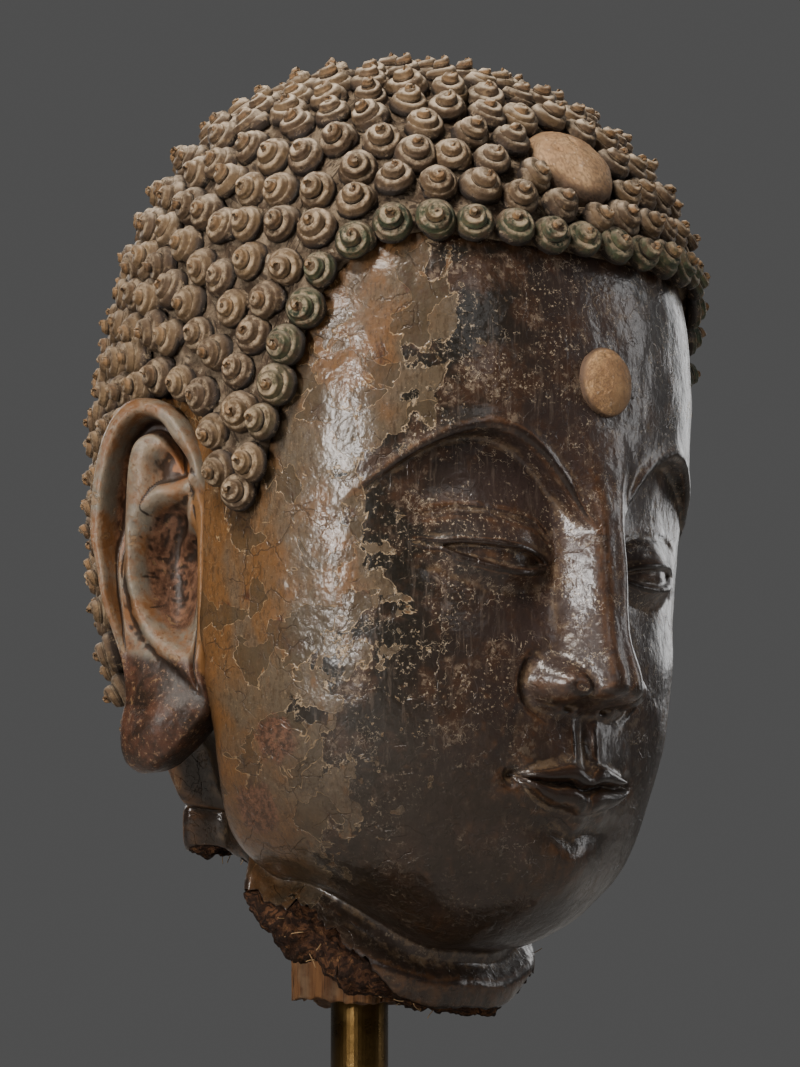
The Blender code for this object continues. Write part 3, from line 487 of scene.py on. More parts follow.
def hairline_height(angle):
    """The height of the hairline at an angle round the head, on straight lines between its corners."""
    return np.interp(np.degrees(np.abs(angle)), HAIRLINE[:, 0], HAIRLINE[:, 1])


def way_at_height(z):
    """How far down the head a height lies, above the neck: the profile's heights read backwards."""
    t = np.linspace(0, WAY[NECK_FIRST], 400)
    return np.interp(-z, -smooth(WAY, LEVELS[:, 0], t), t)


def to_world(points):
    """From the head's upright frame to its place: turned about X, so that it nods forwards about the ears,
    and moved."""
    c, s = math.cos(NOD), math.sin(NOD)
    turn = np.array([[1, 0, 0], [0, c, -s], [0, s, c]])
    return points @ turn.T + HEAD_PLACE


# --- meshes from grids ---------------------------------------------------------------------------------
def surface(name, grid, first=None, last=None, values=None):
    """One closed piece from a grid of points, wrapped round its second direction. Points first and last
    close its two ends. values holds named numbers, one for each grid point, kept as attributes."""
    rows, columns = grid.shape[:2]
    points = grid.reshape(-1, 3)
    at = np.arange(rows * columns).reshape(rows, columns)
    beside = np.roll(at, -1, axis=1)
    quads = np.stack([at[:-1], at[1:], beside[1:], beside[:-1]], axis=-1).reshape(-1, 4)
    fans = []
    extra = 0
    for point, ring, flip in ((first, 0, False), (last, rows - 1, True)):
        if point is None:
            continue
        points = np.vstack([points, point])
        tip = np.full(columns, len(points) - 1)
        a, b = (beside[ring], at[ring]) if flip else (at[ring], beside[ring])
        fans.append(np.stack([tip, a, b], axis=-1))
        extra += 1
    return mesh_piece(name, points, quads, np.concatenate(fans) if fans else None, values, extra)


def mesh_piece(name, points, quads, fans=None, values=None, extra=0):
    """A mesh object of four-sided faces and triangles, smooth, in world metres. Its faces are turned to
    face out, so that the volume they enclose, a sum of triple products, is above nought."""
    split = (points[quads[:, 0]], points[quads[:, 1]], points[quads[:, 2]], points[quads[:, 3]])
    volume = np.einsum("ij,ij->i", split[0], np.cross(split[1], split[2])).sum()
    volume += np.einsum("ij,ij->i", split[0], np.cross(split[2], split[3])).sum()
    if volume < 0:
        quads = quads[:, ::-1]
        fans = None if fans is None else fans[:, ::-1]
    loops = quads.ravel() if fans is None else np.concatenate([quads.ravel(), fans.ravel()])
    sides = np.full(len(quads), 4) if fans is None else np.repeat([4, 3], [len(quads), len(fans)])
    mesh = bpy.data.meshes.new(name)
    mesh.vertices.add(len(points))
    mesh.vertices.foreach_set("co", points.astype(np.float32).ravel())
    mesh.loops.add(len(loops))
    mesh.loops.foreach_set("vertex_index", loops.astype(np.int32))
    mesh.polygons.add(len(sides))
    mesh.polygons.foreach_set("loop_start", (np.cumsum(sides) - sides).astype(np.int32))
    mesh.polygons.foreach_set("loop_total", sides.astype(np.int32))
    mesh.polygons.foreach_set("use_smooth", np.ones(len(sides), dtype=bool))
    mesh.update(calc_edges=True)
    for key, numbers in (values or {}).items():
        layer = mesh.attributes.new(key, "FLOAT", "POINT")
        numbers = np.ravel(numbers)
        full = np.concatenate([numbers, np.full(extra, numbers[-1])]).astype(np.float32)
        layer.data.foreach_set("value", full)
    made = bpy.data.objects.new(name, mesh)
    bpy.context.scene.collection.objects.link(made)
    return made


def tube_faces(at, first, last):
    """Faces of many tubes at once: at holds vertex numbers by tube, ring and place round the ring; first and
    last are the numbers of the points that close the ends of the first tube."""
    beside = np.roll(at, -1, axis=2)
    quads = np.stack([at[:, :-1], at[:, 1:], beside[:, 1:], beside[:, :-1]], axis=-1).reshape(-1, 4)
    spread = (len(at), at.shape[2])
    number = np.arange(len(at))[:, None]
    low = np.stack([np.broadcast_to(first + number, spread), at[:, 0], beside[:, 0]], axis=-1)
    high = np.stack([np.broadcast_to(last + number, spread), beside[:, -1], at[:, -1]], axis=-1)
    return quads, np.concatenate([low.reshape(-1, 3), high.reshape(-1, 3)])


def closer_at(low, high, count, places):
    """count values from low to high, packed closer near each (place, width, strength): even steps of the
    running sum of a density, which is one plus a bump at each place."""
    line = np.linspace(low, high, 4000)
    density = np.ones_like(line)
    for place, width, strength in places:
        density = density + strength * bump(line - place, width)
    run = np.concatenate(([0.0], np.cumsum((density[1:] + density[:-1]) / 2)))
    return np.interp(np.linspace(0, run[-1], count), run, line)


CREASE = 0.005  # the radius of a hollow whose bending is 1


def bending(grid, reach=1):
    """How hollow (above nought) or ridged (below nought) a wrapped grid is at each point: the pull of its
    neighbours along the normal over the square of their distance, near 1 in a crease of 5 mm radius."""
    up = np.concatenate([grid[:1].repeat(reach, 0), grid[:-reach]])
    down = np.concatenate([grid[reach:], grid[-1:].repeat(reach, 0)])
    before, after = np.roll(grid, reach, axis=1), np.roll(grid, -reach, axis=1)
    normal = np.cross(after - before, down - up)
    normal = normal / np.maximum(np.linalg.norm(normal, axis=-1, keepdims=True), 1e-12)
    pull = 0.0
    for a, b in ((up, down), (before, after)):
        wide = np.maximum(((a - grid) ** 2).sum(-1) + ((b - grid) ** 2).sum(-1), 1e-7) / 2
        pull = pull + ((a + b - 2 * grid) * normal).sum(-1) / wide
    return np.clip(pull * CREASE, -1, 1)


# --- skin piece: face, jaw, neck -----------------------------------------------------------------------
SKIN_COLUMNS = 384
SKIN_ROWS = 250
NECK_ROWS = 34
NECK_MIDDLE = np.array([0.0, 0.0, -0.150])
COAT_EDGE = np.array([  # height, degrees round at which the dark lacquer gives way to the tan film
    (-0.26, 56), (-0.20, 64), (-0.17, 52), (-0.12, 46), (-0.065, 48), (-0.005, 40), (0.03, 45), (0.06, 50),
    (0.085, 42), (0.12, 33), (0.19, 30),
])
COAT_EDGE_SPREAD = 20  # degrees to one unit of the value that tells film from lacquer
STAINS = ((-68.5, -0.100, 0.014), (-74.0, -0.142, 0.016))  # degrees round, height, half width
CHEEK_REACH = 0.155  # from the head's axis to the stained cheek


def coat_end(angle):
    """How far down the painted coat reaches round the neck: to the underside in front and behind, and to
    the swell of the roll where its lower half is torn away. The share that is gone is soft steps of the
    angle frayed by noise that runs round the neck."""
    far = np.abs(angle)
    torn = ramp(far, 0.38, 0.72) * (1 - ramp(far, 1.40, 1.60))
    ring = np.stack([np.cos(angle), np.sin(angle), 0 * angle], axis=-1)
    frayed = noise(ring, 0.22, seed=21, layers=5, rough=0.75)
    share = torn * (0.60 + 0.34 * ramp(far, 0.68, 1.12) + 0.22 * frayed) + 0.05 * frayed
    return WAY[17] - (WAY[17] - WAY[15]) * np.clip(share, 0, 1.05)


def skin_piece():
    """The painted clay from the crown, hidden under the hair, to its torn edge round the neck: the points
    of skin, closer together on the features, with a fine noise along the way out. Under the hair they are
    drawn in towards the middle of the skull."""
    angle = closer_at(-math.pi, math.pi, SKIN_COLUMNS + 1, [(0.0, 0.75, 5.0)])[:-1]
    t = closer_at(
        0.02, WAY[NECK_FIRST], SKIN_ROWS - NECK_ROWS,
        [(way_at_height(EYE_Z), 0.018, 5.0), (way_at_height(NOSE_Z + 0.004), 0.012, 6.0),
         (way_at_height(MOUTH_Z), 0.022, 4.5), (way_at_height(BROW_Z), 0.03, 2.5),
         ((WAY[2] + WAY[0]) / 2, 0.16, -0.8)],
    )
    a, w = np.meshgrid(angle, t)
    share = np.linspace(0, 1, NECK_ROWS + 1)[1:, None]
    w = np.concatenate([w, WAY[NECK_FIRST] + (coat_end(angle) - WAY[NECK_FIRST]) * share])
    a = np.broadcast_to(angle, w.shape)
    points = skin(a, w)
    under = ramp(points[..., 2] - hairline_height(a), 0.004, 0.016)[..., None]
    points = SKULL + (points - SKULL) * (1 - 0.05 * under)
    points = points + outward(a, w) * (0.0006 * noise(points, 0.030, seed=9, layers=4))[..., None]
    edge = points[-1]
    inward = unit(NECK_MIDDLE - edge)
    inside = [edge + inward * depth for depth in (0.0012, 0.004, 0.045)]
    rows = np.concatenate([points, np.array(inside)])
    round_way = np.degrees(np.broadcast_to(angle, rows.shape[:2]))
    a_degree = math.radians(CHEEK_REACH)
    stains = [bump(np.hypot((round_way - a) * a_degree, rows[..., 2] - h), size) for a, h, size in STAINS]
    edge_of_coat = np.interp(rows[..., 2], COAT_EDGE[:, 0], COAT_EDGE[:, 1])
    values = {
        "bend": bending(rows, 2),
        "tan_zone": (np.abs(round_way) - edge_of_coat) / COAT_EDGE_SPREAD,
        "stain": sum(stains),
    }
    top = to_world(np.array([[0, 0, 0.28]]))
    return surface("head_skin", to_world(rows), top, to_world(NECK_MIDDLE[None]), values)


BROKEN_COLUMNS = 340
BROKEN_ROWS = 88
BREAK_END = 0.992  # how far down the head's profile the break is drawn, short of the axis


def broken_neck():
    """The rough clay bared where the neck broke off: it starts behind the coat's torn edge and runs in
    under the head to the wooden core. The points of skin are moved along the way out by lumps, two sizes
    of noise, and by pits where a third noise is high."""
    angle = np.linspace(-math.pi, math.pi, BROKEN_COLUMNS, endpoint=False)
    share = np.linspace(0, 1, BROKEN_ROWS)[:, None]
    start = coat_end(angle) - 0.012
    w = np.clip(start + (BREAK_END - start) * share, 0, BREAK_END)
    a = np.broadcast_to(angle, w.shape)
    base = skin(a, w)
    out = outward(a, w)
    lumps = 0.0042 * noise(base, 0.020, seed=31, layers=5, rough=0.62)
    lumps = lumps + 0.0014 * noise(base, 0.0045, seed=37, layers=3)
    pits = -0.0050 * ramp(noise(base, 0.013, seed=41, layers=3), 0.45, 1.0)
    free = ramp(share, 0.02, 0.10)
    points = base + out * ((lumps + pits) * free - 0.0022 - 0.004 * (1 - free))[..., None]
    inner = [NECK_MIDDLE + (points[0] - NECK_MIDDLE) * k for k in (0.97, 0.6)]
    rows = np.concatenate([np.array(inner[::-1]), points])
    values = {"bend": bending(rows, 1)}
    top = to_world(np.array([[0, 0.0, -0.16]]))
    last = to_world(rows[-1].mean(axis=0)[None])
    return surface("broken_neck", to_world(rows), top, last, values)


STRAW_COUNT = 30
STRAW_STEPS = 7
STRAW_SIDES = 5
STRAW_LENGTHS = (0.004, 0.010)
STRAW_HALF_WIDTHS = (0.0002, 0.0004)
STRAW_BEND = 0.2
STRAW_ROOT = 0.0010  # how deep below the skin a stalk starts


def straw(rng):
    """Bits of chopped straw that stick out of the broken clay: small rings round a middle line that runs
    along a random way and bends aside by the square of its length."""
    angle = rng.uniform(-math.pi, math.pi, STRAW_COUNT)
    w = coat_end(angle) + rng.uniform(0.01, 0.30, STRAW_COUNT) * (1 - coat_end(angle))
    root = skin(angle, w)
    out = outward(angle, w)
    way = unit(0.35 * out + rng.normal(0, 0.6, root.shape))
    curl = unit(np.cross(way, rng.normal(0, 1, root.shape)))
    long = rng.uniform(*STRAW_LENGTHS, STRAW_COUNT)[:, None, None]
    along = np.linspace(-0.4, 1, STRAW_STEPS)[None, :, None]
    run = along * way[:, None] + STRAW_BEND * along ** 2 * curl[:, None]
    middle = root[:, None] - out[:, None] * STRAW_ROOT + long * run
    turn = np.linspace(0, FULL_TURN, STRAW_SIDES, endpoint=False)[None, None, :, None]
    other = np.cross(way, curl)
    thick = rng.uniform(*STRAW_HALF_WIDTHS, STRAW_COUNT)[:, None, None, None]
    ring = np.cos(turn) * curl[:, None, None] + np.sin(turn) * other[:, None, None]
    points = (middle[:, :, None] + thick * ring).reshape(-1, 3)
    at = np.arange(STRAW_COUNT * STRAW_STEPS * STRAW_SIDES).reshape(STRAW_COUNT, STRAW_STEPS, STRAW_SIDES)
    quads, fans = tube_faces(at, at.size, at.size + STRAW_COUNT)
    tips = np.concatenate([middle[:, 0], middle[:, -1]])
    return mesh_piece("straw", to_world(np.vstack([points, tips])), quads, fans)


# --- hair ----------------------------------------------------------------------------------------------
def jewel_centre():
    """Where the jewel's direction from the middle of the skull meets the skin."""
    t = np.linspace(0.02, WAY[4], 300)
    points = skin(np.zeros_like(t), t) - SKULL
    rise = np.arctan2(points[:, 2], -points[:, 1])
    return points[np.argmin(np.abs(rise - JEWEL_UP))] + SKULL


def scalp_samples():
    """Points all over the scalp, the area that each stands for, and the way out at each; none under the
    jewel. The area is the length of a step round times that of a step down."""
    angles = np.linspace(-math.pi, math.pi, HAIR_SAMPLES[0], endpoint=False)
    ways = np.linspace(0.004, WAY[NECK_FIRST], HAIR_SAMPLES[1])
    angle, t = np.meshgrid(angles, ways, indexing="ij")
    points = skin(angle, t)
    round_it = np.linalg.norm(skin(angle + 0.01, t) - points, axis=-1)
    down_it = np.linalg.norm(skin(angle, t + 0.002) - points, axis=-1)
    keep = points[..., 2] > hairline_height(angle)
    keep &= np.linalg.norm(points - jewel_centre(), axis=-1) > JEWEL_R
    cell = (angles[1] - angles[0]) * (ways[1] - ways[0]) / (0.01 * 0.002)
    return points[keep], (round_it * down_it)[keep] * cell, outward(angle, t)[keep]


def evenly_along(points, spacing):
    """The points of a closed path, one each spacing along it."""
    ring = np.vstack([points, points[:1]])
    run = np.concatenate(([0.0], np.cumsum(np.linalg.norm(np.diff(ring, axis=0), axis=1))))
    at = np.arange(round(run[-1] / spacing)) * run[-1] / round(run[-1] / spacing)
    return np.stack([np.interp(at, run, ring[:, k]) for k in range(3)], axis=1)


def hairline_row():
    """The curls along the hairline, the same step apart; one that would crowd another is left out."""
    angle = np.linspace(-math.pi, math.pi, 1440, endpoint=False)
    edge = skin(angle, way_at_height(hairline_height(angle) + 0.35 * CURL_PITCH))
    row = []
    for place in evenly_along(edge, CURL_PITCH):
        if all(np.linalg.norm(place - other) > CURL_CROWDED * CURL_PITCH for other in row):
            row.append(place)
    return np.array(row)


def eased_apart(loose, fixed, points, area):
    """Each loose place moved again and again to the middle of the scalp that is nearest to it."""
    for _ in range(HAIR_ROUNDS):
        places = np.vstack([fixed, loose])
        near = np.argmin((places ** 2).sum(1)[None, :] - 2 * points @ places.T, axis=1)
        total = np.bincount(near, weights=area, minlength=len(places))[len(fixed):, None]
        middle = np.stack(
            [np.bincount(near, weights=area * points[:, k], minlength=len(places)) for k in range(3)], axis=1
        )[len(fixed):]
        loose = np.where(total > 0, middle / np.maximum(total, 1e-12), loose)
    return loose


def curl_places():
    """The middles of all curls on the skin, the way out at each, and how many lie along the hairline. They
    are set as a maker sticks them on: one after another into the pocket between those already there,
    working up from the hairline. In the end all but the hairline's are eased apart."""
    points, area, out = scalp_samples()
    row = hairline_row()
    first = np.full(len(points), np.inf)
    second = first.copy()
    for place in row:
        away = np.linalg.norm(points - place, axis=1)
        second = np.minimum(second, np.maximum(first, away))
        first = np.minimum(first, away)
    from_edge = first.copy()
    loose = []
    while (first > CURL_ROOM * CURL_PITCH).any():
        score = np.where(first > CURL_ROOM * CURL_PITCH, first + second + 0.3 * from_edge, np.inf)
        loose.append(points[np.argmin(score)])
        away = np.linalg.norm(points - loose[-1], axis=1)
        second = np.minimum(second, np.maximum(first, away))
        first = np.minimum(first, away)
    places = np.vstack([row, eased_apart(np.array(loose), row, points, area)])
    nearest = np.argmin((points ** 2).sum(1)[None, :] - 2 * places @ points.T, axis=1)
    return places, out[nearest], len(row)


CURL_TURNS = 2.5
CURL_STEPS = 38  # along each coil
CURL_SIDES = 8  # round its section
FRONT_STEPS = 60
FRONT_SIDES = 10
CURL_STRIP = 0.0028  # the height of a coil's lowest turn above the crust
CURL_FLAT_TURN = 0.70  # turns before the spiral draws in
CURL_FLAT_RISE = 0.60  # turns before it climbs
STRIP_WIDE = (0.0034, 0.0005)  # half the strip's width at its foot, and how much less at its tip
STRIP_HIGH = (0.0050, 0.0018)  # and half its height
STRIP_ROUND = 0.91  # how far along the strip its tip begins to round off
TIP_RADIUS = 0.0005  # of the spiral
STRIP_TILT = -0.20
STRIP_FLAT = 0.74  # below one, the strip's outline is squarer than an ellipse
CONE_SIDES = 8
CONE_FAR = np.array([0.72, 0.62, 0.40, 0.22])  # of half the pitch
CONE_UP = np.array([-0.001, 0.35, 0.60, 0.80])  # of the curl's height


def cones_inside(places, lean, side, ahead, tall, start_at):
    """A plain cone inside each curl, which fills the hollow of its coil: rings round the curl's own way out,
    narrower step by step, as points and faces. The points are numbered from start_at."""
    count = len(places)
    turn = np.linspace(0, FULL_TURN, CONE_SIDES, endpoint=False)
    spoke = np.cos(turn)[None, :, None] * side[:, None] + np.sin(turn)[None, :, None] * ahead[:, None]
    centre = places[:, None] + lean[:, None] * (HAIR_LIFT + CONE_UP[None] * tall[:, None])[..., None]
    cone = centre[:, :, None] + spoke[:, None] * (0.5 * CURL_PITCH * CONE_FAR)[None, :, None, None]
    at = start_at + np.arange(count * len(CONE_UP) * CONE_SIDES).reshape(count, len(CONE_UP), CONE_SIDES)
    quads, fans = tube_faces(at, start_at + at.size, start_at + at.size + count)
    return np.concatenate([cone.reshape(-1, 3), centre[:, 0], centre[:, -1]]), quads, fans


def curls_piece(name, places, out, rng, steps, sides, greens):
    """Snail-shell curls: a strip of clay wound up a cone. Its middle line is a spiral whose radius shrinks
    with the turn while its height grows; a rounded outline, taller than wide and smaller towards the tip,
    is carried along it. Every curl has its own size, lean, start and wear."""
    count = len(places)
    size = rng.normal(1.0, 0.05, count).clip(0.87, 1.10)
    lean = unit(out + rng.normal(0, 0.11, (count, 3)))
    start = rng.uniform(0, FULL_TURN, count)
    tall = CURL_HEIGHT * rng.normal(0.92, 0.09, count).clip(0.70, 1.02)
    side = unit(np.cross(lean, np.array([0.31, 0.17, 0.93])))
    ahead = np.cross(lean, side)
    u = np.linspace(0, 1, steps)
    turned = CURL_TURNS * u ** 0.95
    end = np.sqrt(np.clip(1 - (np.clip(u - STRIP_ROUND, 0, 1) / 0.0901) ** 2, 0, 1))
    wide = (STRIP_WIDE[0] - STRIP_WIDE[1] * u) * ramp(u, -0.02, 0.04) * end
    high = (STRIP_HIGH[0] - STRIP_HIGH[1] * u) * ramp(u, -0.06, 0.05) * (0.40 + 0.60 * end)
    inward = np.clip((turned - CURL_FLAT_TURN) / (CURL_TURNS - CURL_FLAT_TURN), 0, 1)
    radius = (0.52 * CURL_PITCH - 0.0036) * (1 - inward) + TIP_RADIUS
    angle = start[:, None] + FULL_TURN * turned[None, :]
    radial = np.cos(angle)[..., None] * side[:, None] + np.sin(angle)[..., None] * ahead[:, None]
    climb = np.clip((turned - CURL_FLAT_RISE) / (CURL_TURNS - CURL_FLAT_RISE), 0, 1) ** 0.9
    rise = HAIR_LIFT + CURL_STRIP + (tall[:, None] - CURL_STRIP - CURL_STRIP) * climb[None]
    middle = places[:, None] + radial * (radius[None] * size[:, None])[..., None]
    middle = middle + lean[:, None] * rise[..., None]
    around = np.linspace(0, FULL_TURN, sides, endpoint=False)
    cos_a, sin_a = (np.sign(f) * np.abs(f) ** STRIP_FLAT for f in (np.cos(around), np.sin(around)))
    across = unit(radial[:, :, None] + 0 * lean[:, None, None])
    ring = (
        (cos_a * wide[:, None])[None, ..., None] * across
        + (sin_a * high[:, None])[None, ..., None] * (lean[:, None, None] + STRIP_TILT * radial[:, :, None])
    )
    points = middle[:, :, None] + ring * size[:, None, None, None]
    wobble = noise(points, 0.005, seed=11, layers=2) * 0.0004
    points = points + unit(ring) * wobble[..., None]
    at = np.arange(count * steps * sides).reshape(count, steps, sides)
    quads, fans = tube_faces(at, at.size, at.size + count)
    ends = np.concatenate([middle[:, 0], middle[:, -1] + lean * 0.0010])
    share = np.broadcast_to(u[None, :, None], at.shape)
    across_it = np.broadcast_to(around[None, None, :] / FULL_TURN, at.shape)
    above = np.einsum("ijkl,il->ijk", points - places[:, None, None], lean) - HAIR_LIFT

    cone, cone_quads, cone_fans = cones_inside(places, lean, side, ahead, tall, at.size + 2 * count)
    kind = rng.uniform(0, 1, count)
    low = np.zeros(count)
    plain = np.zeros(len(cone))
    values = {
        "up_curl": np.concatenate([share.ravel(), low, low + 1, plain]),
        "round_strip": np.concatenate([across_it.ravel(), low, low, plain]),
        "above": np.concatenate([above.ravel() / CURL_HEIGHT, low, low + 1, plain + 0.3]),
        "curl_kind": np.concatenate([np.repeat(kind, steps * sides), kind, kind, plain + 0.5]),
        "green": np.concatenate([np.repeat(greens, steps * sides), greens, greens, plain]),
    }
    vertices = to_world(np.concatenate([points.reshape(-1, 3), ends, cone]))
    faces = np.concatenate([quads, cone_quads]), np.concatenate([fans, cone_fans])
    return mesh_piece(name, vertices, *faces, values)


SCALP_COLUMNS = 380
SCALP_ROWS = 150
BATCH = 8192


def nearest_curl(points, places):
    """How far each point is from the middle of the nearest curl, worked out for a batch of points at once."""
    flat = points.reshape(-1, 3)
    away = np.full(len(flat), np.inf)
    for low in range(0, len(flat), BATCH):
        part = flat[low:low + BATCH]
        gap = (part ** 2).sum(1)[:, None] + (places ** 2).sum(1)[None, :] - 2 * part @ places.T
        away[low:low + BATCH] = np.sqrt(np.maximum(gap.min(axis=1), 0))
    return away.reshape(points.shape[:-1])


def scalp_piece(places):
    """The crusted clay between the curls: the skin raised by the lift of the hair, heaped up round the foot
    of each curl, with a rounded edge at the hairline that dives under the skin."""
    angle = closer_at(-math.pi, math.pi, SCALP_COLUMNS + 1, [(0.0, 1.2, 0.6)])[:-1]
    edge = way_at_height(hairline_height(angle) + 0.003)
    share = np.linspace(0.0, 1.0, SCALP_ROWS)
    a, s = np.meshgrid(angle, share)
    t = 0.012 + (edge[None, :] - 0.012) * s
    base = skin(a, t)
    out = outward(a, t)
    lift = (HAIR_LIFT - 0.001) * np.sqrt(np.clip(1 - ramp(s, 0.965, 1.0) ** 2, 0, 1))
    lift = lift - 0.004 * ramp(s, 0.99, 1.0)
    nearest = nearest_curl(base, places)
    crust = 0.0016 * noise(base, 0.009, seed=3, layers=4, rough=0.6)
    crust = crust + 0.0030 * (1 - ramp(nearest, 0.006, 0.014))
    grid = base + out * (lift + crust * (1 - ramp(s, 0.97, 1.0)))[..., None]
    inner = [skin(angle, np.maximum(edge * share_in, 0.012)) for share_in in (0.98, 0.8, 0.4)]
    inner = [SKULL + (ring - SKULL) * 0.93 for ring in inner]
    rows = np.concatenate([grid, np.array(inner)])
    top = skin(np.array([0.0]), np.array([0.001])) + np.array([[0, 0, HAIR_LIFT]])
    return surface("scalp", to_world(rows), to_world(top), to_world(SKULL[None]), {"bend": bending(rows)})


# --- ears ----------------------------------------------------------------------------------------------
EAR_COLUMNS = 260
EAR_RINGS = 130


def ear_piece(name, side):
    """A disc whose front carries the ear's relief and whose back narrows into the head: rings from the
    middle of the bowl out to the rim, over it, and in again behind."""
    turn = np.linspace(0, FULL_TURN, EAR_COLUMNS, endpoint=False)
    front = closer_at(0.02, 1.0, EAR_RINGS, [(0.85, 0.2, 1.0), (1.0, 0.05, 1.5)])
    back = np.array([0.985, 0.95, 0.88, 0.75, 0.55, 0.30, 0.10])
    share = np.concatenate([front, back])[:, None] * np.ones_like(turn)[None, :]
    is_front = (np.arange(len(share)) < len(front))[:, None]
    e, h = ear_outline(turn)
    e, h = e[None] * share, h[None] * share
    over = np.clip((share - 0.93) / 0.07, 0, 1)
    relief = ear_relief(e, h, share)
    out_front = relief - 0.0065 * (1 - np.sqrt(np.clip(1 - over ** 2, 0, 1)))
    fork = bump(np.hypot((e + 0.016) / 0.013, (h - 0.070) / 0.012), 1.0)
    beside = np.exp(-off_line(e, h, EAR_ORANGE) ** 2)
    cheek = ear_cheek(e, h)
    out_back = -EAR_THICK - EAR_ROOT * (1 - share) ** 0.5 + 0.006 * np.sqrt(over)
    out = np.where(is_front, out_front, out_back)
    s, c = math.sin(EAR_FLARE), math.cos(EAR_FLARE)
    e = e + ear_shift(h)
    x, y, z = EAR_PLACE
    local = np.stack([side * (x + s * e + c * out), y + c * e - s * out, z + h], axis=-1)
    local = local + 0.0004 * noise(local, 0.012, seed=5)[..., None]
    first = local[0].mean(axis=0)[None]
    last = local[-1].mean(axis=0)[None]
    values = {
        "bend": bending(local, 2),
        "deep": np.clip(-relief / 0.016, 0, 1) * is_front * (1 - cheek),
        "orange": np.clip(fork + beside, 0, 1) * is_front,
        "cheek": cheek * is_front,
        "lobe": ramp(-h, 0.030, 0.056),
    }
    return surface(name, to_world(local), to_world(first), to_world(last), values)


# --- set-in pieces, wood -------------------------------------------------------------------------------
URNA_R = 0.0205
URNA_Z = BROW_Z + 0.060
URNA_RISE = 0.009
URNA_SEAT = 0.006
JEWEL_RISE = 0.022
JEWEL_SEAT = 0.010
URNA_WEAR = 0.0007
JEWEL_WEAR = 0.0009
BOSS_COLUMNS = 120
BOSS_ROWS = 44


def boss_piece(name, centre, normal, radius, rise, seat, wear, seed):
    """A clay boss: a quarter-round cap turned about its normal, a short straight side, a flat seat. Noise,
    cut off where it would stand out, wears it and chips it."""
    side = unit(np.cross(normal, np.array([1.0, 0.0, 0.0])))
    other = np.cross(normal, side)
    turn = np.linspace(0, FULL_TURN, BOSS_COLUMNS, endpoint=False)
    arc = np.linspace(0.03, 1, BOSS_ROWS) * math.pi / 2
    far = np.concatenate([np.sin(arc), [1.0, 0.97, 0.5]])[:, None]
    up = np.concatenate([rise * np.cos(arc), [-0.6 * seat, -seat, -seat]])[:, None]
    points = centre + radius * far[..., None] * (
        np.cos(turn)[None, :, None] * side + np.sin(turn)[None, :, None] * other
    ) + up[..., None] * normal
    way = unit(points - (centre - 0.6 * radius * normal))
    lumps = wear * noise(points, radius * 0.7, seed=seed, layers=5, rough=0.6)
    chips = -1.6 * wear * ramp(noise(points, radius * 0.22, seed=seed + 5, layers=3), 0.55, 0.85)
    points = points + way * (np.minimum(lumps + chips, 0.15 * wear) * (up > -0.3 * seat))[..., None]
    values = {"bend": bending(points, 1), "rim": far * np.ones(BOSS_COLUMNS)}
    tip = centre + (rise + wear * 0.1) * normal
    foot = centre - seat * normal
    return surface(name, to_world(points), to_world(tip[None]), to_world(foot[None]), values)


WOOD_SIZE = (0.070, 0.060)
WOOD_TURN = math.radians(12)
WOOD_LOW = 0.180
WOOD_CLEAR = 0.0042  # the middle of the broken end above the lowest place it may reach
WOOD_STEPS = (-0.0038, 0.008)  # how far the broken end may lie below and above its middle
WOOD_HIGH = 0.300
WOOD_COLUMNS = 240
WOOD_ROWS = 60


def wood_end(x, y, fine=0.0):
    """The height of the broken end: steps that follow the bundles of grain, kept within their limits."""
    across = np.stack([x, y, 0 * x], axis=-1)
    steps = 0.0032 * noise(across, 0.016, seed=51, layers=3, rough=0.6) + fine
    return WOOD_LOW + WOOD_CLEAR + np.clip(steps, *WOOD_STEPS)


def wood_piece():
    """The squared stump of the wooden core: long grain standing up as ridges, splits that run with it, and
    a lower end broken off in steps along the grain. Its outline is a circle over the ninth root of the
    ninth powers of cosine and sine; grain and splits are noise stretched along it."""
    turn = np.linspace(0, FULL_TURN, WOOD_COLUMNS, endpoint=False)
    square = 1 / np.maximum(np.abs(np.cos(turn)) ** 9 + np.abs(np.sin(turn)) ** 9, 1e-9) ** (1 / 9)
    x = WOOD_SIZE[0] / 2 * square * np.cos(turn)
    y = WOOD_SIZE[1] / 2 * square * np.sin(turn)
    across = np.stack([x, y, 0 * x], axis=-1)
    low = wood_end(x, y, 0.0010 * noise(across, 0.0035, seed=52, layers=2))
    share = np.linspace(0, 1, WOOD_ROWS)[:, None]
    z = WOOD_HIGH + (low - WOOD_HIGH) * share
    points = np.stack([x + 0 * z, y + 0 * z, z], axis=-1)
    with_grain = points * np.array([1, 1, 0.06])
    ridges = -0.0007 * np.abs(noise(with_grain, 0.0035, seed=53, layers=3))
    splits = -0.0032 * ramp(np.abs(noise(with_grain, 0.016, seed=54, layers=2)), 0.10, 0.0)
    out = unit(across)[None]
    points = points + out * (ridges + splits)[..., None]
    shrink = np.array([0.94, 0.75, 0.5, 0.25, 0.1])[:, None]
    inner = np.stack([x * shrink, y * shrink, wood_end(x * shrink, y * shrink)], axis=-1)
    rows = np.concatenate([points, inner])
    c, s = math.cos(WOOD_TURN), math.sin(WOOD_TURN)
    rows = rows @ np.array([[c, s, 0], [-s, c, 0], [0, 0, 1]])
    at_end = np.repeat([0.0, 1.0], [WOOD_ROWS, len(shrink)])[:, None] * np.ones(WOOD_COLUMNS)
    top = np.array([[0, 0, WOOD_HIGH]])
    foot = np.array([[0, 0, WOOD_LOW + 0.0045]])
    return surface("wood_stump", rows, top, foot, {"end": at_end})


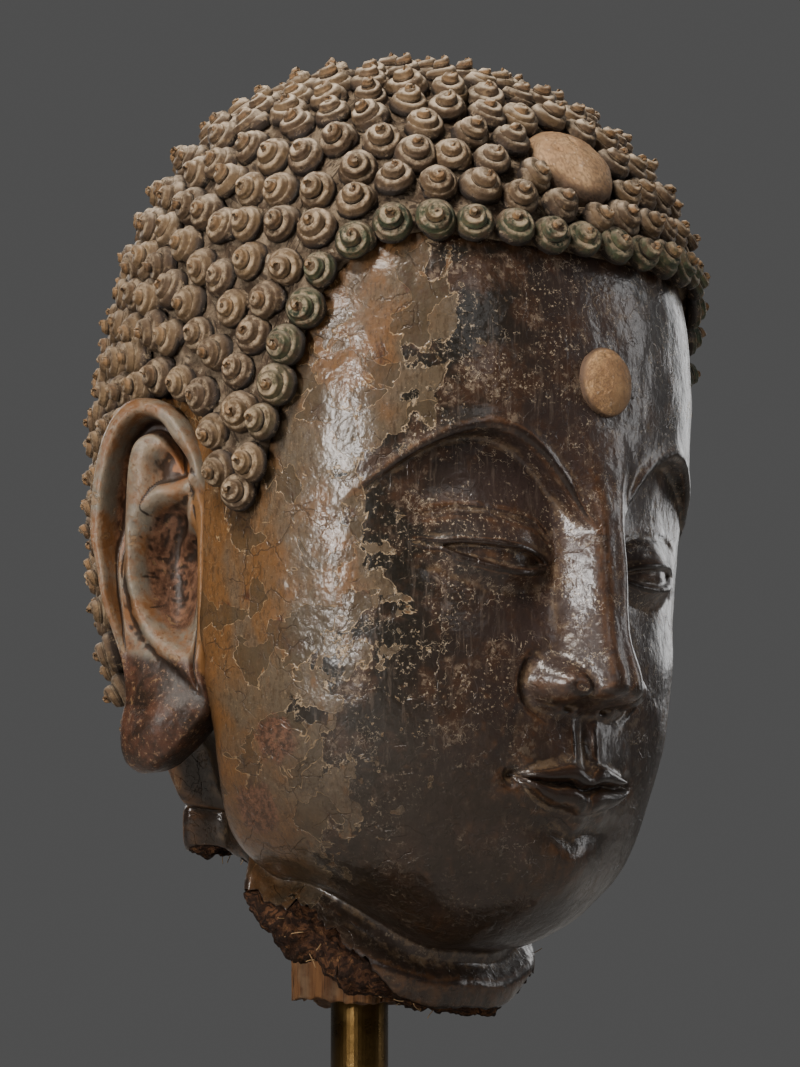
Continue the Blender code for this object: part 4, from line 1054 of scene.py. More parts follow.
# --- camera, light, stage ------------------------------------------------------------------------------
VIEW_AZIMUTH = math.radians(-42)
VIEW_RISE = math.radians(-9)
VIEW_DISTANCE = 2.3
VIEW_WIDTH = 0.48
VIEW_AIM = (0.0246, 0.466)  # to the right of the rod's axis, and up
SENSOR = 36  # the camera's film, in its own millimetres
LIT_PLACE = (0, -0.04, 0.48)  # the middle of the head, which every light is turned to
FLOOR_SIZE = 40
FLOOR_COLOUR = (0.45, 0.44, 0.42, 1)
SURROUND_COLOUR = (0.60, 0.60, 0.60, 1)
SURROUND_STRENGTH = 0.14
LIGHTS = {  # place, width and height, watts, colour
    "key": ((-1.30, -0.70, 1.75), (0.5, 0.5), 60, (1.0, 0.93, 0.84)),
    "strip": ((-1.66, -0.44, 0.62), (0.14, 0.5), 27, (1.0, 0.97, 0.94)),
    "rim": ((1.5, -1.1, 0.9), (0.3, 1.2), 9),
    "front": ((-0.6, -2.4, 1.4), (0.8, 0.8), 6),
    "back": ((0.5, 2.2, 1.5), (1.4, 1.0), 26),
    "left side": ((2.2, 0.5, 1.1), (1.0, 1.0), 10),
}


def camera():
    """A long lens a little below the head and to its right, looking up at it."""
    back = Vector((
        math.sin(VIEW_AZIMUTH) * math.cos(VIEW_RISE),
        -math.cos(VIEW_AZIMUTH) * math.cos(VIEW_RISE),
        math.sin(VIEW_RISE),
    ))
    right = Vector((math.cos(VIEW_AZIMUTH), math.sin(VIEW_AZIMUTH), 0))
    up = back.cross(right)
    data = bpy.data.cameras.new("camera")
    data.sensor_fit = "HORIZONTAL"
    data.sensor_width = SENSOR
    data.lens = SENSOR * VIEW_DISTANCE / VIEW_WIDTH
    data.clip_start = 0.05
    made = bpy.data.objects.new("camera", data)
    bpy.context.scene.collection.objects.link(made)
    place = right * VIEW_AIM[0] + up * VIEW_AIM[1] + back * VIEW_DISTANCE
    turn = Matrix((right, up, back)).transposed().to_4x4()
    made.matrix_world = Matrix.Translation(place) @ turn
    bpy.context.scene.camera = made


def area_light(name, place, size, power, colour=(1, 1, 1)):
    """A soft rectangle of light turned to the middle of the head."""
    data = bpy.data.lights.new(name, "AREA")
    data.shape = "RECTANGLE"
    data.size, data.size_y = size
    data.energy = power
    data.color = colour
    made = bpy.data.objects.new(name, data)
    bpy.context.scene.collection.objects.link(made)
    made.location = place
    made.rotation_euler = (Vector(LIT_PLACE) - Vector(place)).to_track_quat("-Z", "Y").to_euler()


def studio():
    """A plain pale floor, an even grey surround and the soft lights."""
    bpy.ops.mesh.primitive_plane_add(size=FLOOR_SIZE, location=(0, 0, 0))
    floor = bpy.context.object
    floor.name = "floor"
    pale = bpy.data.materials.new("pale floor")
    pale.use_nodes = True
    shader = pale.node_tree.nodes["Principled BSDF"]
    shader.inputs["Base Color"].default_value = FLOOR_COLOUR
    shader.inputs["Roughness"].default_value = 0.8
    floor.data.materials.append(pale)
    world = bpy.data.worlds.new("studio")
    bpy.context.scene.world = world
    world.use_nodes = True
    surround = world.node_tree.nodes["Background"]
    surround.inputs["Color"].default_value = SURROUND_COLOUR
    surround.inputs["Strength"].default_value = SURROUND_STRENGTH
    for name, light in LIGHTS.items():
        area_light(name, *light)


# --- materials -----------------------------------------------------------------------------------------
class Finish:
    """One material, with short names for the nodes that it is made of."""

    def __init__(self, name, metallic=0.0, coat=0.0, coat_roughness=0.3, specular=0.5):
        """A new material with its fixed numbers; place is where a point lies in metres."""
        self.material = bpy.data.materials.new(name)
        self.material.use_nodes = True
        self.tree = self.material.node_tree
        self.shader = self.tree.nodes["Principled BSDF"]
        self.shader.inputs["Metallic"].default_value = metallic
        self.shader.inputs["Coat Weight"].default_value = coat
        self.shader.inputs["Coat Roughness"].default_value = coat_roughness
        self.shader.inputs["Specular IOR Level"].default_value = specular
        self.place = self.add("ShaderNodeTexCoord").outputs["Object"]

    def add(self, kind, **settings):
        """A new node of a kind, with its settings."""
        node = self.tree.nodes.new(kind)
        for key, value in settings.items():
            setattr(node, key, value)
        return node

    def feed(self, socket, value):
        """A node's output, a colour or a number into a socket."""
        if isinstance(value, bpy.types.NodeSocket):
            self.tree.links.new(value, socket)
        elif isinstance(value, tuple):
            socket.default_value = (*value, 1) if len(socket.default_value) == 4 else value
        else:
            socket.default_value = value

    def value(self, name):
        """A number that the mesh keeps at each of its points, by name."""
        return self.add("ShaderNodeAttribute", attribute_name=name).outputs["Fac"]

    def math(self, how, value, *others):
        """Values joined by a sum from the first on; a sum of one value, such as a sine, takes no others."""
        for other in others or (0.0,):
            node = self.add("ShaderNodeMath", operation=how)
            self.feed(node.inputs[0], value)
            self.feed(node.inputs[1], other)
            value = node.outputs[0]
        return value

    def over(self, *values):
        """The product of values."""
        return self.math("MULTIPLY", *values)

    def plus(self, *values):
        """The sum of values."""
        return self.math("ADD", *values)

    def either(self, *values):
        """The largest of values."""
        return self.math("MAXIMUM", *values)

    def noise_node(self, size, detail, rough=0.5, warp=0.0, at=None):
        """Lumps about one size across, with finer layers, each weaker by rough, pushed aside by warp."""
        node = self.add("ShaderNodeTexNoise")
        self.feed(node.inputs["Vector"], at or self.place)
        node.inputs["Scale"].default_value = 1 / size
        node.inputs["Detail"].default_value = detail
        node.inputs["Roughness"].default_value = rough
        node.inputs["Distortion"].default_value = warp
        return node

    def blur(self, size, detail=3.0, rough=0.55, warp=0.0, at=None):
        """Soft noise from 0 to 1 about one size across, in metres."""
        return self.noise_node(size, detail, rough, warp, at).outputs["Fac"]

    def swing(self, *lumps, **where):
        """As blur, from -0.5 to 0.5."""
        return self.math("SUBTRACT", self.blur(*lumps, **where), 0.5)

    def warped(self, size, amount):
        """The place, pushed about by noise, for ragged outlines."""
        push = self.add("ShaderNodeVectorMath", operation="MULTIPLY_ADD")
        self.feed(push.inputs[0], self.noise_node(size, 4).outputs["Color"])
        push.inputs[1].default_value = (amount,) * 3
        self.feed(push.inputs[2], self.place)
        return push.outputs[0]

    def stretched(self, share):
        """The place with its height squeezed to a share, so that what is drawn there runs up and down."""
        node = self.add("ShaderNodeMapping")
        self.feed(node.inputs["Vector"], self.place)
        node.inputs["Scale"].default_value = (1, 1, share)
        return node.outputs[0]

    def cracks(self, size, thin, wide, at):
        """Lines between cells about one size across: one up to thin from a cell's edge, nothing past wide,
        both as shares of the size."""
        node = self.add("ShaderNodeTexVoronoi", feature="DISTANCE_TO_EDGE")
        self.feed(node.inputs["Vector"], at)
        node.inputs["Scale"].default_value = 1 / size
        return self.step(node.outputs["Distance"], thin, wide, 1.0, 0.0)

    def ring(self, value, level, width):
        """One where a value is at a level, and nothing once it is a width away: a thin line round a patch."""
        off = self.math("ABSOLUTE", self.math("SUBTRACT", value, level))
        return self.step(off, width, 0.25 * width)

    def step(self, value, low, high, least=0.0, most=1.0):
        """From least to most as a value goes from low to high, softly."""
        node = self.add("ShaderNodeMapRange", interpolation_type="SMOOTHSTEP")
        self.feed(node.inputs["Value"], value)
        self.feed(node.inputs["From Min"], low)
        self.feed(node.inputs["From Max"], high)
        node.inputs["To Min"].default_value = least
        node.inputs["To Max"].default_value = most
        return node.outputs[0]

    def patches(self, low, high, *lumps, at=None):
        """Patches with soft edges: nothing where blur, with these lumps, is at low, and one at high."""
        return self.step(self.blur(*lumps, at=at), low, high)

    def mix(self, share, under, colour):
        """A colour over the one under it: all of it where the share is 1, none where it is 0."""
        node = self.add("ShaderNodeMix", data_type="RGBA")
        self.feed(node.inputs["Factor"], share)
        self.feed(node.inputs[6], under)
        self.feed(node.inputs[7], colour)
        return node.outputs[2]

    def spots(self, under, colour, share, low, high, *lumps, at=None):
        """A colour in patches over another, a share of it at most."""
        return self.mix(self.over(self.patches(low, high, *lumps, at=at), share), under, colour)

    def bump(self, height, depth, below=None):
        """The surface tilted as a relief would, of height times depth in metres, on the relief below
        it."""
        node = self.add("ShaderNodeBump")
        node.inputs["Distance"].default_value = depth
        self.feed(node.inputs["Height"], height)
        if below:
            self.feed(node.inputs["Normal"], below)
        return node.outputs[0]

    def upward(self, vector):
        """The upward part of a place or a direction."""
        split = self.add("ShaderNodeSeparateXYZ")
        self.feed(split.inputs[0], vector)
        return split.outputs[2]

    def up(self):
        """How far the surface faces up, from -1 to 1."""
        return self.upward(self.add("ShaderNodeNewGeometry").outputs["Normal"])

    def height(self):
        """How high the place is above the floor, in metres."""
        return self.upward(self.place)

    def finish(self, colour, roughness, normal=None):
        """Colour, roughness and tilt into the material, which is returned."""
        self.feed(self.shader.inputs["Base Color"], colour)
        self.feed(self.shader.inputs["Roughness"], roughness)
        if normal:
            self.feed(self.shader.inputs["Normal"], normal)
            self.feed(self.shader.inputs["Coat Normal"], normal)
        return self.material


LACQUER_ENDS = 0.37  # the level at which the lacquer over the front gives way to the film
PALE_LIP = (0.230, 0.168, 0.105)
CRACK_DIRT = (0.016, 0.009, 0.005)
# painted shade for the hollow between the jaw and the nape
PAINTED_HOLLOW_SHADE = (0.009, 0.006, 0.004)


def paint_borders(f, zone, large):
    """How the layers lie, by noise laid over the zones: where the lacquer is gone, where the film under it is
    gone too and clay lies bare, and the thin pale lips along their jagged outlines. Also how far behind the
    lacquer's border a place lies."""
    jagged = f.swing(0.023, 5, 0.54, 0.35)
    front = f.plus(zone, f.over(large, 1.8), f.over(jagged, 3.2))
    ragged_clay = f.swing(0.020, 6, 0.56, 0.5, at=f.warped(0.05, 0.03))
    orange_side = f.plus(f.over(zone, 0.80), f.over(large, -2.0), f.over(ragged_clay, 7.0), -2.90)
    small = f.swing(0.0105, 4, 0.55, 0.3)
    island = f.plus(f.over(small, 7.0), f.over(zone, 0.95), f.over(large, 1.8), -0.90)
    gone = f.either(f.step(front, LACQUER_ENDS, LACQUER_ENDS + 0.02), f.step(island, 0.0, 0.05))
    bare = f.step(orange_side, 0.0, 0.10)
    front_lip = f.over(f.ring(front, LACQUER_ENDS - 0.01, 0.050), f.step(island, 0.0, -0.10))
    island_lip = f.over(f.ring(island, 0.0, 0.11), f.step(front, LACQUER_ENDS, LACQUER_ENDS - 0.03))
    orange_lip = f.over(f.ring(orange_side, 0.0, 0.10), gone, 0.5)
    lip = f.either(front_lip, island_lip, orange_lip)
    return front, gone, bare, f.over(lip, f.patches(0.38, 0.54, 0.0060, 3, 0.65))


def dark_lacquer(f, zone):
    """Brown to black lacquer, blackest near its border, with rusty clouds, streaks, worn places, the rims of
    small flakes and specks where it has chipped. Returns its colour, the worn places and the flakes."""
    colour = f.mix(f.step(zone, -1.8, 0.1), (0.025, 0.016, 0.0135), (0.0070, 0.0055, 0.0036))
    colour = f.spots(colour, (0.033, 0.016, 0.009), 0.7, 0.46, 0.62, 0.030, 4, 0.65)
    colour = f.spots(colour, (0.070, 0.052, 0.040), 0.45, 0.52, 0.68, 0.0030, 5, 0.72, at=f.stretched(0.09))
    worn = f.over(f.patches(0.53, 0.58, 0.0060, 7, 0.78, 0.4), f.patches(0.49, 0.62, 0.030, 4, 0.6))
    colour = f.mix(f.over(worn, 0.72), colour, (0.108, 0.080, 0.056))
    flakes = f.blur(0.0100, 4, 0.56, 0.35)
    rims = f.over(f.ring(flakes, 0.55, 0.008), f.patches(0.48, 0.58, 0.024, 4, 0.6))
    specks = f.over(f.patches(0.585, 0.645, 0.0021, 3, 0.7), f.patches(0.44, 0.58, 0.026, 4, 0.6))
    pale = f.over(f.either(rims, specks), f.step(zone, -3.6, -1.2, 0.30, 0.95))
    return f.mix(pale, colour, (0.200, 0.160, 0.115)), worn, flakes


def thin_film(f, front, large):
    """The film under the lacquer, olive beside it and tan further back: brushed clouds, dark and light grain,
    thinner patches with a pale lip, fine crazing, and the two red-brown stains. Returns its colour, the noise
    that makes it thin, and the crazing."""
    brushed = f.stretched(0.40)
    tan = f.step(f.plus(front, f.over(large, 2.0)), 0.5, 2.0)
    colour = f.mix(tan, (0.058, 0.042, 0.026), (0.080, 0.038, 0.013))
    colour = f.spots(colour, (0.050, 0.043, 0.032), 0.60, 0.50, 0.64, 0.040, 4, 0.6, at=brushed)
    colour = f.spots(colour, (0.098, 0.043, 0.013), 0.60, 0.50, 0.64, 0.024, 5, 0.7, at=brushed)
    colour = f.spots(colour, (0.034, 0.010, 0.006), 0.80, 0.58, 0.66, 0.030, 5, 0.75)
    colour = f.spots(colour, (0.024, 0.013, 0.006), 0.60, 0.50, 0.66, 0.0034, 6, 0.75, at=brushed)
    colour = f.spots(colour, (0.140, 0.092, 0.048), 0.35, 0.58, 0.70, 0.0060, 5, 0.75)
    colour = f.spots(colour, (0.022, 0.013, 0.007), 0.55, 0.50, 0.64, 0.0018, 4, 0.75, at=brushed)
    colour = f.spots(colour, (0.150, 0.100, 0.055), 0.45, 0.56, 0.70, 0.0022, 4, 0.75)
    thin = f.blur(0.030, 4, 0.50, 0.5)
    colour = f.mix(f.over(f.step(thin, 0.550, 0.554), 0.62), colour, (0.030, 0.021, 0.011))
    lip = f.over(f.ring(thin, 0.548, 0.0050), f.patches(0.36, 0.52, 0.0080, 3, 0.65))
    colour = f.mix(f.over(lip, 0.72), colour, (0.210, 0.142, 0.078))
    crazing = f.cracks(0.017, 0.008, 0.026, f.warped(0.010, 0.009))
    crazing = f.over(crazing, f.patches(0.47, 0.56, 0.022, 4, 0.6))
    colour = f.mix(f.over(crazing, 0.60), colour, (0.022, 0.012, 0.006))
    stain = f.step(f.plus(f.value("stain"), f.over(f.blur(0.007, 6, 0.7), 1.1)), 0.85, 1.15)
    stain_red = f.mix(f.patches(0.42, 0.60, 0.0040, 5, 0.75), (0.022, 0.008, 0.005), (0.105, 0.046, 0.026))
    return f.mix(f.over(stain, 0.75), colour, stain_red), thin, crazing


def orange_clay(f, behind):
    """Bare orange clay by the ears, with fine dark grain, and browner at the nape."""
    colour = f.mix(f.patches(0.38, 0.62, 0.030, 4, 0.6), (0.122, 0.050, 0.017), (0.092, 0.046, 0.019))
    colour = f.spots(colour, (0.040, 0.018, 0.007), 0.60, 0.52, 0.66, 0.0030, 5, 0.75)
    nape = f.mix(f.blur(0.018, 5, 0.7), (0.034, 0.018, 0.009), (0.088, 0.044, 0.019))
    return f.mix(f.over(behind, 0.75), colour, nape)


def painted_clay():
    """Old paint in layers on clay. A dark lacquer holds over the front of the face, and a thin film lies
    beside it, and bare orange clay by the ears. Dirt lies in the cracks and, orange-brown, in the creases,
    and the ridges are rubbed pale. Painted shade darkens the lower jaw, the hollow behind it and the
    deepest creases."""
    f = Finish("painted clay", coat=0.36, coat_roughness=0.145, specular=0.11)
    bend = f.value("bend")
    zone = f.value("tan_zone")
    behind = f.step(zone, 2.7, 4.2)
    large = f.swing(0.075, 3, 0.55)
    front, gone, bare, lip = paint_borders(f, zone, large)
    lacquer, worn, flakes = dark_lacquer(f, zone)
    film, thin, crazing = thin_film(f, front, large)
    bare_film = f.over(bare, gone)
    colour = f.mix(gone, lacquer, film)
    colour = f.mix(bare_film, colour, orange_clay(f, behind))
    colour = f.mix(f.over(lip, 0.85), colour, PALE_LIP)

    # painted shade: the lacquer darker low on the jaw, in clouds, less on the film and none at the nape
    clouds = f.step(f.blur(0.020, 5, 0.7), 0.30, 0.60, 0.42, 0.88)
    painted_shade_low_on_jaw = f.over(f.step(f.height(), 0.380, 0.285), clouds, f.step(gone, 0.0, 1.0, 1.0, 0.60))
    colour = f.mix(f.over(painted_shade_low_on_jaw, f.step(behind, 0.0, 0.5, 1.0, 0.0)), colour, (0.013, 0.0085, 0.0055))
    # painted shade, nearly black, in the hollow between the jaw and the nape
    painted_shade_behind_jaw = f.over(f.step(zone, 1.76, 2.15), f.step(zone, 3.62, 3.42), f.step(f.height(), 0.390, 0.355))
    colour = f.mix(f.over(painted_shade_behind_jaw, 0.88), colour, PAINTED_HOLLOW_SHADE)
    crack = f.over(f.cracks(0.036, 0.003, 0.010, f.warped(0.018, 0.020)), f.patches(0.55, 0.62, 0.030, 3))
    colour = f.mix(f.over(crack, 0.60), colour, CRACK_DIRT)
    crease = f.over(f.step(bend, 0.08, 0.40), f.patches(0.34, 0.58, 0.009, 4, 0.7))
    colour = f.mix(f.over(crease, 0.30), colour, (0.100, 0.044, 0.016))
    # painted shade: the deepest creases nearly black
    colour = f.mix(f.over(f.step(bend, 0.35, 0.85), 0.85), colour, (0.008, 0.005, 0.004))
    ridge = f.over(f.step(bend, -0.12, -0.50), f.patches(0.42, 0.62, 0.007, 4, 0.7))
    colour = f.mix(f.over(ridge, 0.35), colour, (0.130, 0.086, 0.048))

    roughness = f.mix(gone, (0.36,) * 3, (0.40,) * 3)
    roughness = f.mix(f.either(bare_film, f.over(worn, 0.7)), roughness, (0.68,) * 3)
    roughness = f.plus(roughness, f.over(f.blur(0.006, 5, 0.7), 0.36), -0.14)
    lacquer_there = f.math("SUBTRACT", 1.0, gone)
    film_there = f.math("SUBTRACT", 1.0, bare)
    layers = f.plus(f.over(lacquer_there, 0.40), f.over(film_there, 0.28),
                    f.over(f.step(thin, 0.554, 0.546), 0.22), f.over(f.step(flakes, 0.545, 0.555), 0.18))
    split = f.either(crack, f.over(crazing, gone))
    grain = f.over(f.blur(0.0036, 4, 0.66), 0.30)
    relief = f.plus(layers, grain, f.over(split, -0.28), f.over(lip, 0.14))
    waves = f.bump(f.blur(0.045, 4, 0.55), 0.0022, f.bump(f.blur(0.011, 3, 0.5), 0.0006))
    return f.finish(colour, roughness, f.bump(relief, 0.0008, waves))


def curl_clay(name, green):
    """Unpainted-looking clay of the curls: brown bodies, worn and orange at the tips, with pale crust at
    their feet; the row along the hairline is olive green. Painted shade darkens the underside of each coil
    and low down between the curls; the top of each coil, and what faces up, for the crown's curls more so
    high on the head, are paler, dusty and with painted light from above."""
    f = Finish(name, specular=0.30)
    up_curl = f.value("up_curl")
    strip = f.value("round_strip")
    wave = f.math("SINE", f.over(strip, FULL_TURN))
    lines = f.math("SINE", f.over(strip, FULL_TURN * 5))
    body = f.mix(f.step(f.value("curl_kind"), 0.1, 0.9), (0.038, 0.021, 0.009), (0.094, 0.058, 0.027))
    body = f.spots(body, (0.060, 0.036, 0.020), 0.8, 0.42, 0.66, 0.012, 4, 0.7)
    body = f.spots(body, (0.150, 0.096, 0.048), 0.65, 0.50, 0.70, 0.005, 4, 0.7)
    if green:
        paint = f.mix(f.patches(0.35, 0.65, 0.010, 4, 0.7), (0.014, 0.021, 0.010), (0.040, 0.046, 0.020))
        keeps = f.over(f.patches(0.66, 0.46, 0.007, 5, 0.7), f.step(up_curl, 1.10, 0.62))
        body = f.mix(f.over(keeps, f.value("green")), body, paint)
    tip = f.over(f.step(up_curl, 0.66, 0.95), f.patches(0.35, 0.60, 0.004, 3, 0.7))
    body = f.mix(f.over(tip, 0.6), body, (0.190, 0.100, 0.040))
    # the top of each coil paler: wear and dusty clay, partly painted light from above
    edge = f.over(f.step(wave, 0.60, 1.0), f.patches(0.40, 0.60, 0.005, 4, 0.7))
    body = f.mix(f.over(edge, 0.64), body, (0.285, 0.216, 0.142))
    # paler where it faces up, and for the crown's curls higher on the head: dusty, partly painted light from
    # above
    dust_and_top_light = f.over(f.step(f.up(), 0.15, 0.85), f.patches(0.30, 0.58, 0.010, 5, 0.7))
    dust_and_top_light = f.over(dust_and_top_light, 0.22 if green else f.step(f.height(), 0.58, 0.71, 0.18, 1.0))
    body = f.mix(dust_and_top_light, body, (0.460, 0.378, 0.286))
    # painted shade on the underside of each coil
    groove = f.over(f.step(wave, -0.35, -0.95), f.patches(0.30, 0.55, 0.006, 4, 0.7))
    body = f.mix(f.over(groove, 0.90), body, (0.012, 0.007, 0.004))
    scratched = f.over(f.step(lines, -0.1, -0.9), f.patches(0.4, 0.6, 0.006, 3), 0.45)
    body = f.mix(scratched, body, (0.040, 0.024, 0.014))
    # painted shade low down between the curls; the pale crust at their feet below is the clay's own
    low = f.step(f.plus(f.value("above"), f.over(f.blur(0.006, 4, 0.7), 0.35)), 0.60, 0.28)
    body = f.mix(f.over(low, 0.92), body, (0.018, 0.010, 0.006))
    crust = f.over(low, f.patches(0.54, 0.62, 0.009, 5, 0.75))
    body = f.mix(f.over(crust, 0.80), body, (0.200, 0.145, 0.092))
    body = f.spots(body, (0.036, 0.022, 0.014), 0.5, 0.62, 0.72, 0.0022, 3, 0.7)
    grit = f.plus(f.over(f.blur(0.004, 5, 0.75), 0.8), f.over(f.blur(0.0014, 3, 0.7), 0.25))
    roughness = f.step(f.blur(0.006, 3), 0.3, 0.7, 0.62, 0.86)
    return f.finish(body, roughness, f.bump(f.plus(f.over(lines, 0.24), grit), 0.0016))


def crust_clay():
    """The crusted clay between the curls: painted shade in the hollows, with pale crumbs."""
    f = Finish("crusted clay", specular=0.2)
    colour = f.mix(f.patches(0.40, 0.66, 0.016, 5, 0.7), (0.044, 0.028, 0.017), (0.170, 0.128, 0.086))
    colour = f.spots(colour, (0.270, 0.215, 0.150), 0.75, 0.54, 0.66, 0.005, 4, 0.75)
    colour = f.spots(colour, (0.030, 0.019, 0.012), 0.7, 0.58, 0.70, 0.0025, 3, 0.7)
    # painted shade in the hollows
    colour = f.mix(f.over(f.step(f.value("bend"), 0.05, 0.6), 0.8), colour, (0.018, 0.011, 0.007))
    relief = f.plus(f.over(f.blur(0.005, 6, 0.8), 1.0), f.over(f.blur(0.0013, 3, 0.7), 0.3))
    return f.finish(colour, 0.88, f.bump(relief, 0.0022))


def lobe_paint(f):
    """Glossy red-brown paint of the lobe, with rusty patches and pale specks."""
    colour = f.mix(f.patches(0.42, 0.68, 0.020, 5, 0.7), (0.010, 0.0055, 0.0036), (0.042, 0.015, 0.007))
    colour = f.spots(colour, (0.060, 0.028, 0.015), 0.5, 0.56, 0.70, 0.010, 5, 0.75)
    return f.spots(colour, (0.150, 0.090, 0.050), 0.7, 0.58, 0.64, 0.0024, 4, 0.75)


def ear_clay():
    """Painted clay of the ears: a blue-grey and brown coat on the rims, painted shade in the trough, the bowl
    and the creases, orange clay in the fork and beside the ridge, a tan film towards the cheek, a glossy
    red-brown lobe."""
    f = Finish("painted clay of the ears", coat=0.17, coat_roughness=0.20, specular=0.15)
    bend = f.value("bend")
    coat = f.mix(f.patches(0.40, 0.58, 0.030, 4, 0.65), (0.098, 0.045, 0.018), (0.088, 0.075, 0.058))
    coat = f.spots(coat, (0.118, 0.052, 0.019), 0.7, 0.52, 0.68, 0.012, 5, 0.7)
    edge = f.over(f.step(bend, -0.05, -0.40), f.patches(0.36, 0.58, 0.009, 4, 0.7))
    coat = f.mix(f.over(edge, 0.55), coat, (0.140, 0.112, 0.080))
    # painted shade in the bowl and the trough, by depth, with warmer patches
    hollow = f.mix(f.patches(0.36, 0.62, 0.010, 5, 0.7), (0.032, 0.015, 0.009), (0.112, 0.056, 0.032))
    coat = f.mix(f.step(f.value("deep"), 0.15, 0.60), coat, hollow)
    orange = f.over(f.value("orange"), f.patches(0.34, 0.52, 0.012, 5, 0.7))
    coat = f.mix(f.over(orange, 0.85), coat, (0.200, 0.078, 0.024))
    lobe = f.step(f.plus(f.value("lobe"), f.over(f.blur(0.020, 3), 0.4)), 0.45, 0.85)
    coat = f.mix(f.over(lobe, 0.96), coat, lobe_paint(f))
    cheek = f.step(f.plus(f.value("cheek"), f.over(f.blur(0.012, 5, 0.7), 0.8)), 0.70, 0.95)
    colour = f.mix(cheek, coat, f.mix(f.blur(0.02, 5, 0.7), (0.080, 0.042, 0.017), (0.150, 0.070, 0.025)))
    # painted shade, nearly black, in the creases and the trough
    colour = f.mix(f.over(f.step(bend, 0.12, 0.62), 0.88), colour, (0.010, 0.006, 0.004))
    flake = f.patches(0.605, 0.620, 0.010, 7, 0.65, 0.4)
    colour = f.mix(f.over(flake, 0.5), colour, (0.140, 0.082, 0.038))
    colour = f.spots(colour, (0.020, 0.012, 0.008), 0.55, 0.58, 0.70, 0.0030, 4, 0.7)
    roughness = f.step(f.blur(0.010, 4, 0.7), 0.3, 0.7, 0.34, 0.60)
    relief = f.plus(f.over(flake, -0.3), f.over(f.blur(0.003, 5, 0.7), 0.5))
    return f.finish(colour, roughness, f.bump(relief, 0.0011))


def raw_clay():
    """The broken clay body: dark red-brown, crumbly, with paler and darker lumps."""
    f = Finish("broken clay", specular=0.15)
    colour = f.mix(f.patches(0.38, 0.66, 0.014, 5, 0.7), (0.022, 0.010, 0.006), (0.080, 0.036, 0.017))
    colour = f.spots(colour, (0.165, 0.084, 0.036), 0.65, 0.54, 0.68, 0.005, 4, 0.75)
    # painted shade in the hollows of the break
    colour = f.mix(f.over(f.step(f.value("bend"), 0.08, 0.6), 0.85), colour, (0.010, 0.005, 0.003))
    relief = f.plus(f.over(f.blur(0.006, 6, 0.8), 1.0), f.over(f.blur(0.0015, 3, 0.75), 0.4))
    return f.finish(colour, 0.92, f.bump(relief, 0.003))


def straw_finish():
    """Dry straw, from brown to pale yellow."""
    f = Finish("straw", specular=0.3)
    return f.finish(f.mix(f.blur(0.010, 2), (0.10, 0.055, 0.024), (0.24, 0.160, 0.080)), 0.7)


def boss_clay(name, light, dark, spots):
    """Bare clay of a boss: mottled, with dark pits, pale specks and a dirty joint round it."""
    f = Finish(name, specular=0.3)
    colour = f.mix(f.patches(0.32, 0.68, 0.012, 5, 0.7), dark, light)
    colour = f.spots(colour, (0.070, 0.042, 0.028), spots, 0.58, 0.68, 0.0026, 4, 0.75)
    colour = f.spots(colour, (0.40, 0.33, 0.25), 0.5, 0.60, 0.72, 0.004, 3, 0.7)
    colour = f.mix(f.over(f.step(f.value("rim"), 0.90, 0.99), 0.92), colour, (0.026, 0.015, 0.009))
    # painted shade in the hollows of the worn surface
    colour = f.mix(f.over(f.step(f.value("bend"), 0.15, 0.7), 0.5), colour, (0.090, 0.052, 0.032))
    relief = f.plus(f.over(f.blur(0.003, 5, 0.75), 0.8), f.over(f.blur(0.0010, 2, 0.7), 0.2))
    return f.finish(colour, 0.74, f.bump(relief, 0.0012))


def old_wood():
    """Dry softwood: orange-brown with dark lines that run up the grain, darker at the broken end."""
    f = Finish("old wood", specular=0.25)
    grain = f.stretched(0.05)
    bands = f.patches(0.36, 0.64, 0.006, 4, 0.65, at=grain)
    colour = f.mix(bands, (0.044, 0.018, 0.007), (0.125, 0.057, 0.021))
    colour = f.spots(colour, (0.036, 0.016, 0.007), 0.8, 0.55, 0.70, 0.0022, 3, 0.6, at=grain)
    colour = f.spots(colour, (0.150, 0.100, 0.058), 0.5, 0.50, 0.70, 0.020, 4)
    colour = f.mix(f.over(f.value("end"), 0.7), colour, (0.055, 0.028, 0.014))
    relief = f.plus(f.blur(0.0025, 4, 0.7, at=grain), f.over(f.blur(0.002, 3), 0.2))
    return f.finish(colour, 0.82, f.bump(relief, 0.0016))


def stand_metal():
    """Brass gone brown, with a satin wipe round it."""
    f = Finish("patinated brass", metallic=1.0)
    colour = f.mix(f.patches(0.35, 0.65, 0.060, 4, 0.6), (0.040, 0.023, 0.007), (0.080, 0.050, 0.018))
    colour = f.spots(colour, (0.036, 0.022, 0.009), 0.6, 0.56, 0.72, 0.010, 5, 0.75)
    roughness = f.step(f.blur(0.020, 4, 0.7), 0.3, 0.7, 0.26, 0.42)
    return f.finish(colour, roughness, f.bump(f.blur(0.003, 3), 0.00012))


# --- the whole head ------------------------------------------------------------------------------------
def place_piece(piece, finish, node):
    """A piece with its finish, on the one body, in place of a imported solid."""
    piece.data.materials.append(finish)
    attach(piece, "root")
    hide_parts(node)


def on_head(piece, finish):
    """A piece that shows a share of the clay head."""
    place_piece(piece, finish, "head")


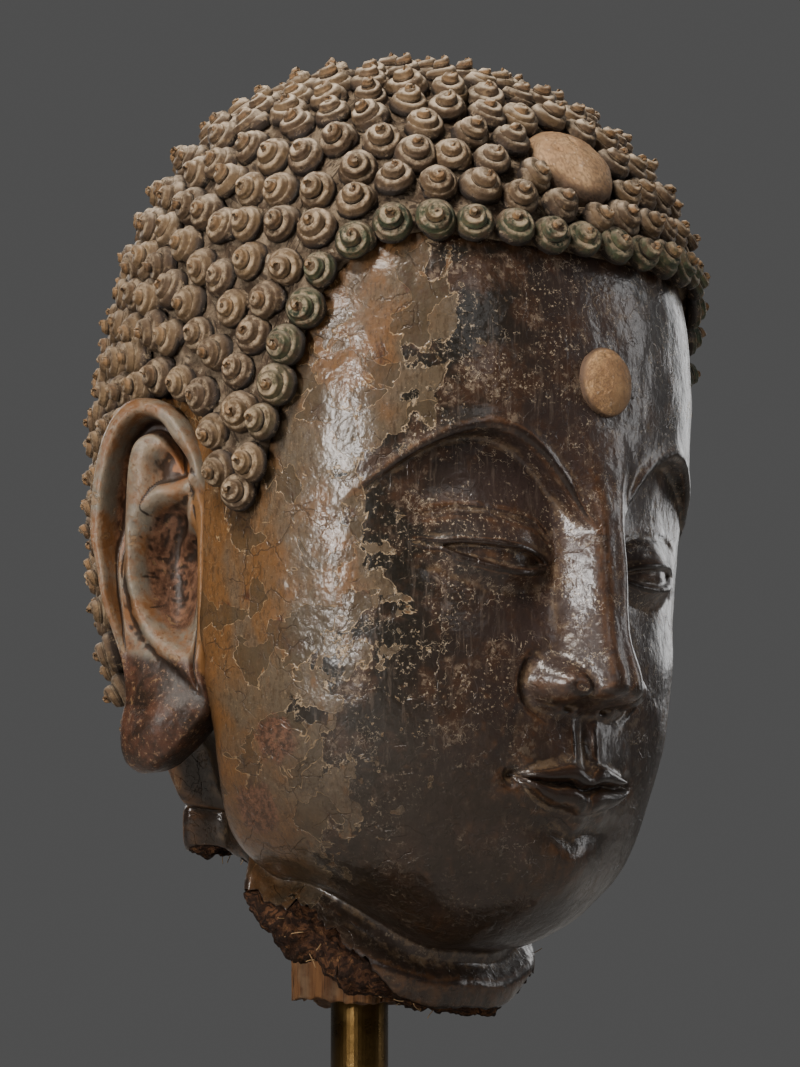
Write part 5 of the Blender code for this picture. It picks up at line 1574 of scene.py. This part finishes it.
def hair(places, out, along, rng):
    """The curls, in three pieces: the row along the hairline, wound finer and green in front, and every
    other one of the rest in each of two."""
    green = curl_clay("green clay of the hairline curls", True)
    brown = curl_clay("clay of the curls", False)
    in_front = ramp(-places[:, 1], 0.040, 0.066) * ramp(places[:, 2], 0.055, 0.090)
    rows = [("hairline_curls", slice(0, along), (FRONT_STEPS, FRONT_SIDES), in_front, green)]
    for k in range(2):
        some = slice(along + k, None, 2)
        rows.append((f"crown_curls_{k + 1}", some, (CURL_STEPS, CURL_SIDES), 0 * in_front, brown))
    for name, some, fineness, greens, clay in rows:
        on_head(curls_piece(name, places[some], out[some], rng, *fineness, greens[some]), clay)


def bosses():
    """The boss between the brows and the jewel among the curls, each set square on the surface below it."""
    at = np.array([0.0]), way_at_height(URNA_Z)
    urna_size = URNA_R, URNA_RISE, URNA_SEAT, URNA_WEAR
    urna = boss_piece("brow_boss", skin(*at)[0], outward(*at)[0], *urna_size, seed=61)
    clay = boss_clay("bare clay of the brow boss", (0.300, 0.180, 0.085), (0.185, 0.100, 0.045), 0.6)
    place_piece(urna, clay, "urna")
    centre = jewel_centre()
    jewel_size = JEWEL_R, JEWEL_RISE, JEWEL_SEAT, JEWEL_WEAR
    jewel = boss_piece("jewel", centre, unit(centre - SKULL), *jewel_size, seed=71)
    clay = boss_clay("bare clay of the jewel", (0.320, 0.205, 0.112), (0.220, 0.128, 0.064), 0.5)
    place_piece(jewel, clay, "hair_jewel")


def build():
    """Every piece in its place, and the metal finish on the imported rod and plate."""
    rng = np.random.default_rng(HAIR_SEED)
    places, out, along = curl_places()
    on_head(skin_piece(), painted_clay())
    on_head(scalp_piece(places), crust_clay())
    hair(places, out, along, rng)
    ears = ear_clay()
    for name, side in (("right_ear", -1), ("left_ear", 1)):
        on_head(ear_piece(name, side), ears)
    on_head(broken_neck(), raw_clay())
    on_head(straw(rng), straw_finish())
    bosses()
    place_piece(wood_piece(), old_wood(), "wood_core")
    metal = stand_metal()
    for node in ("mount_rod", "mount_foot"):
        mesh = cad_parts[node].data
        mesh.materials.clear()
        mesh.materials.append(metal)


build()
camera()
studio()
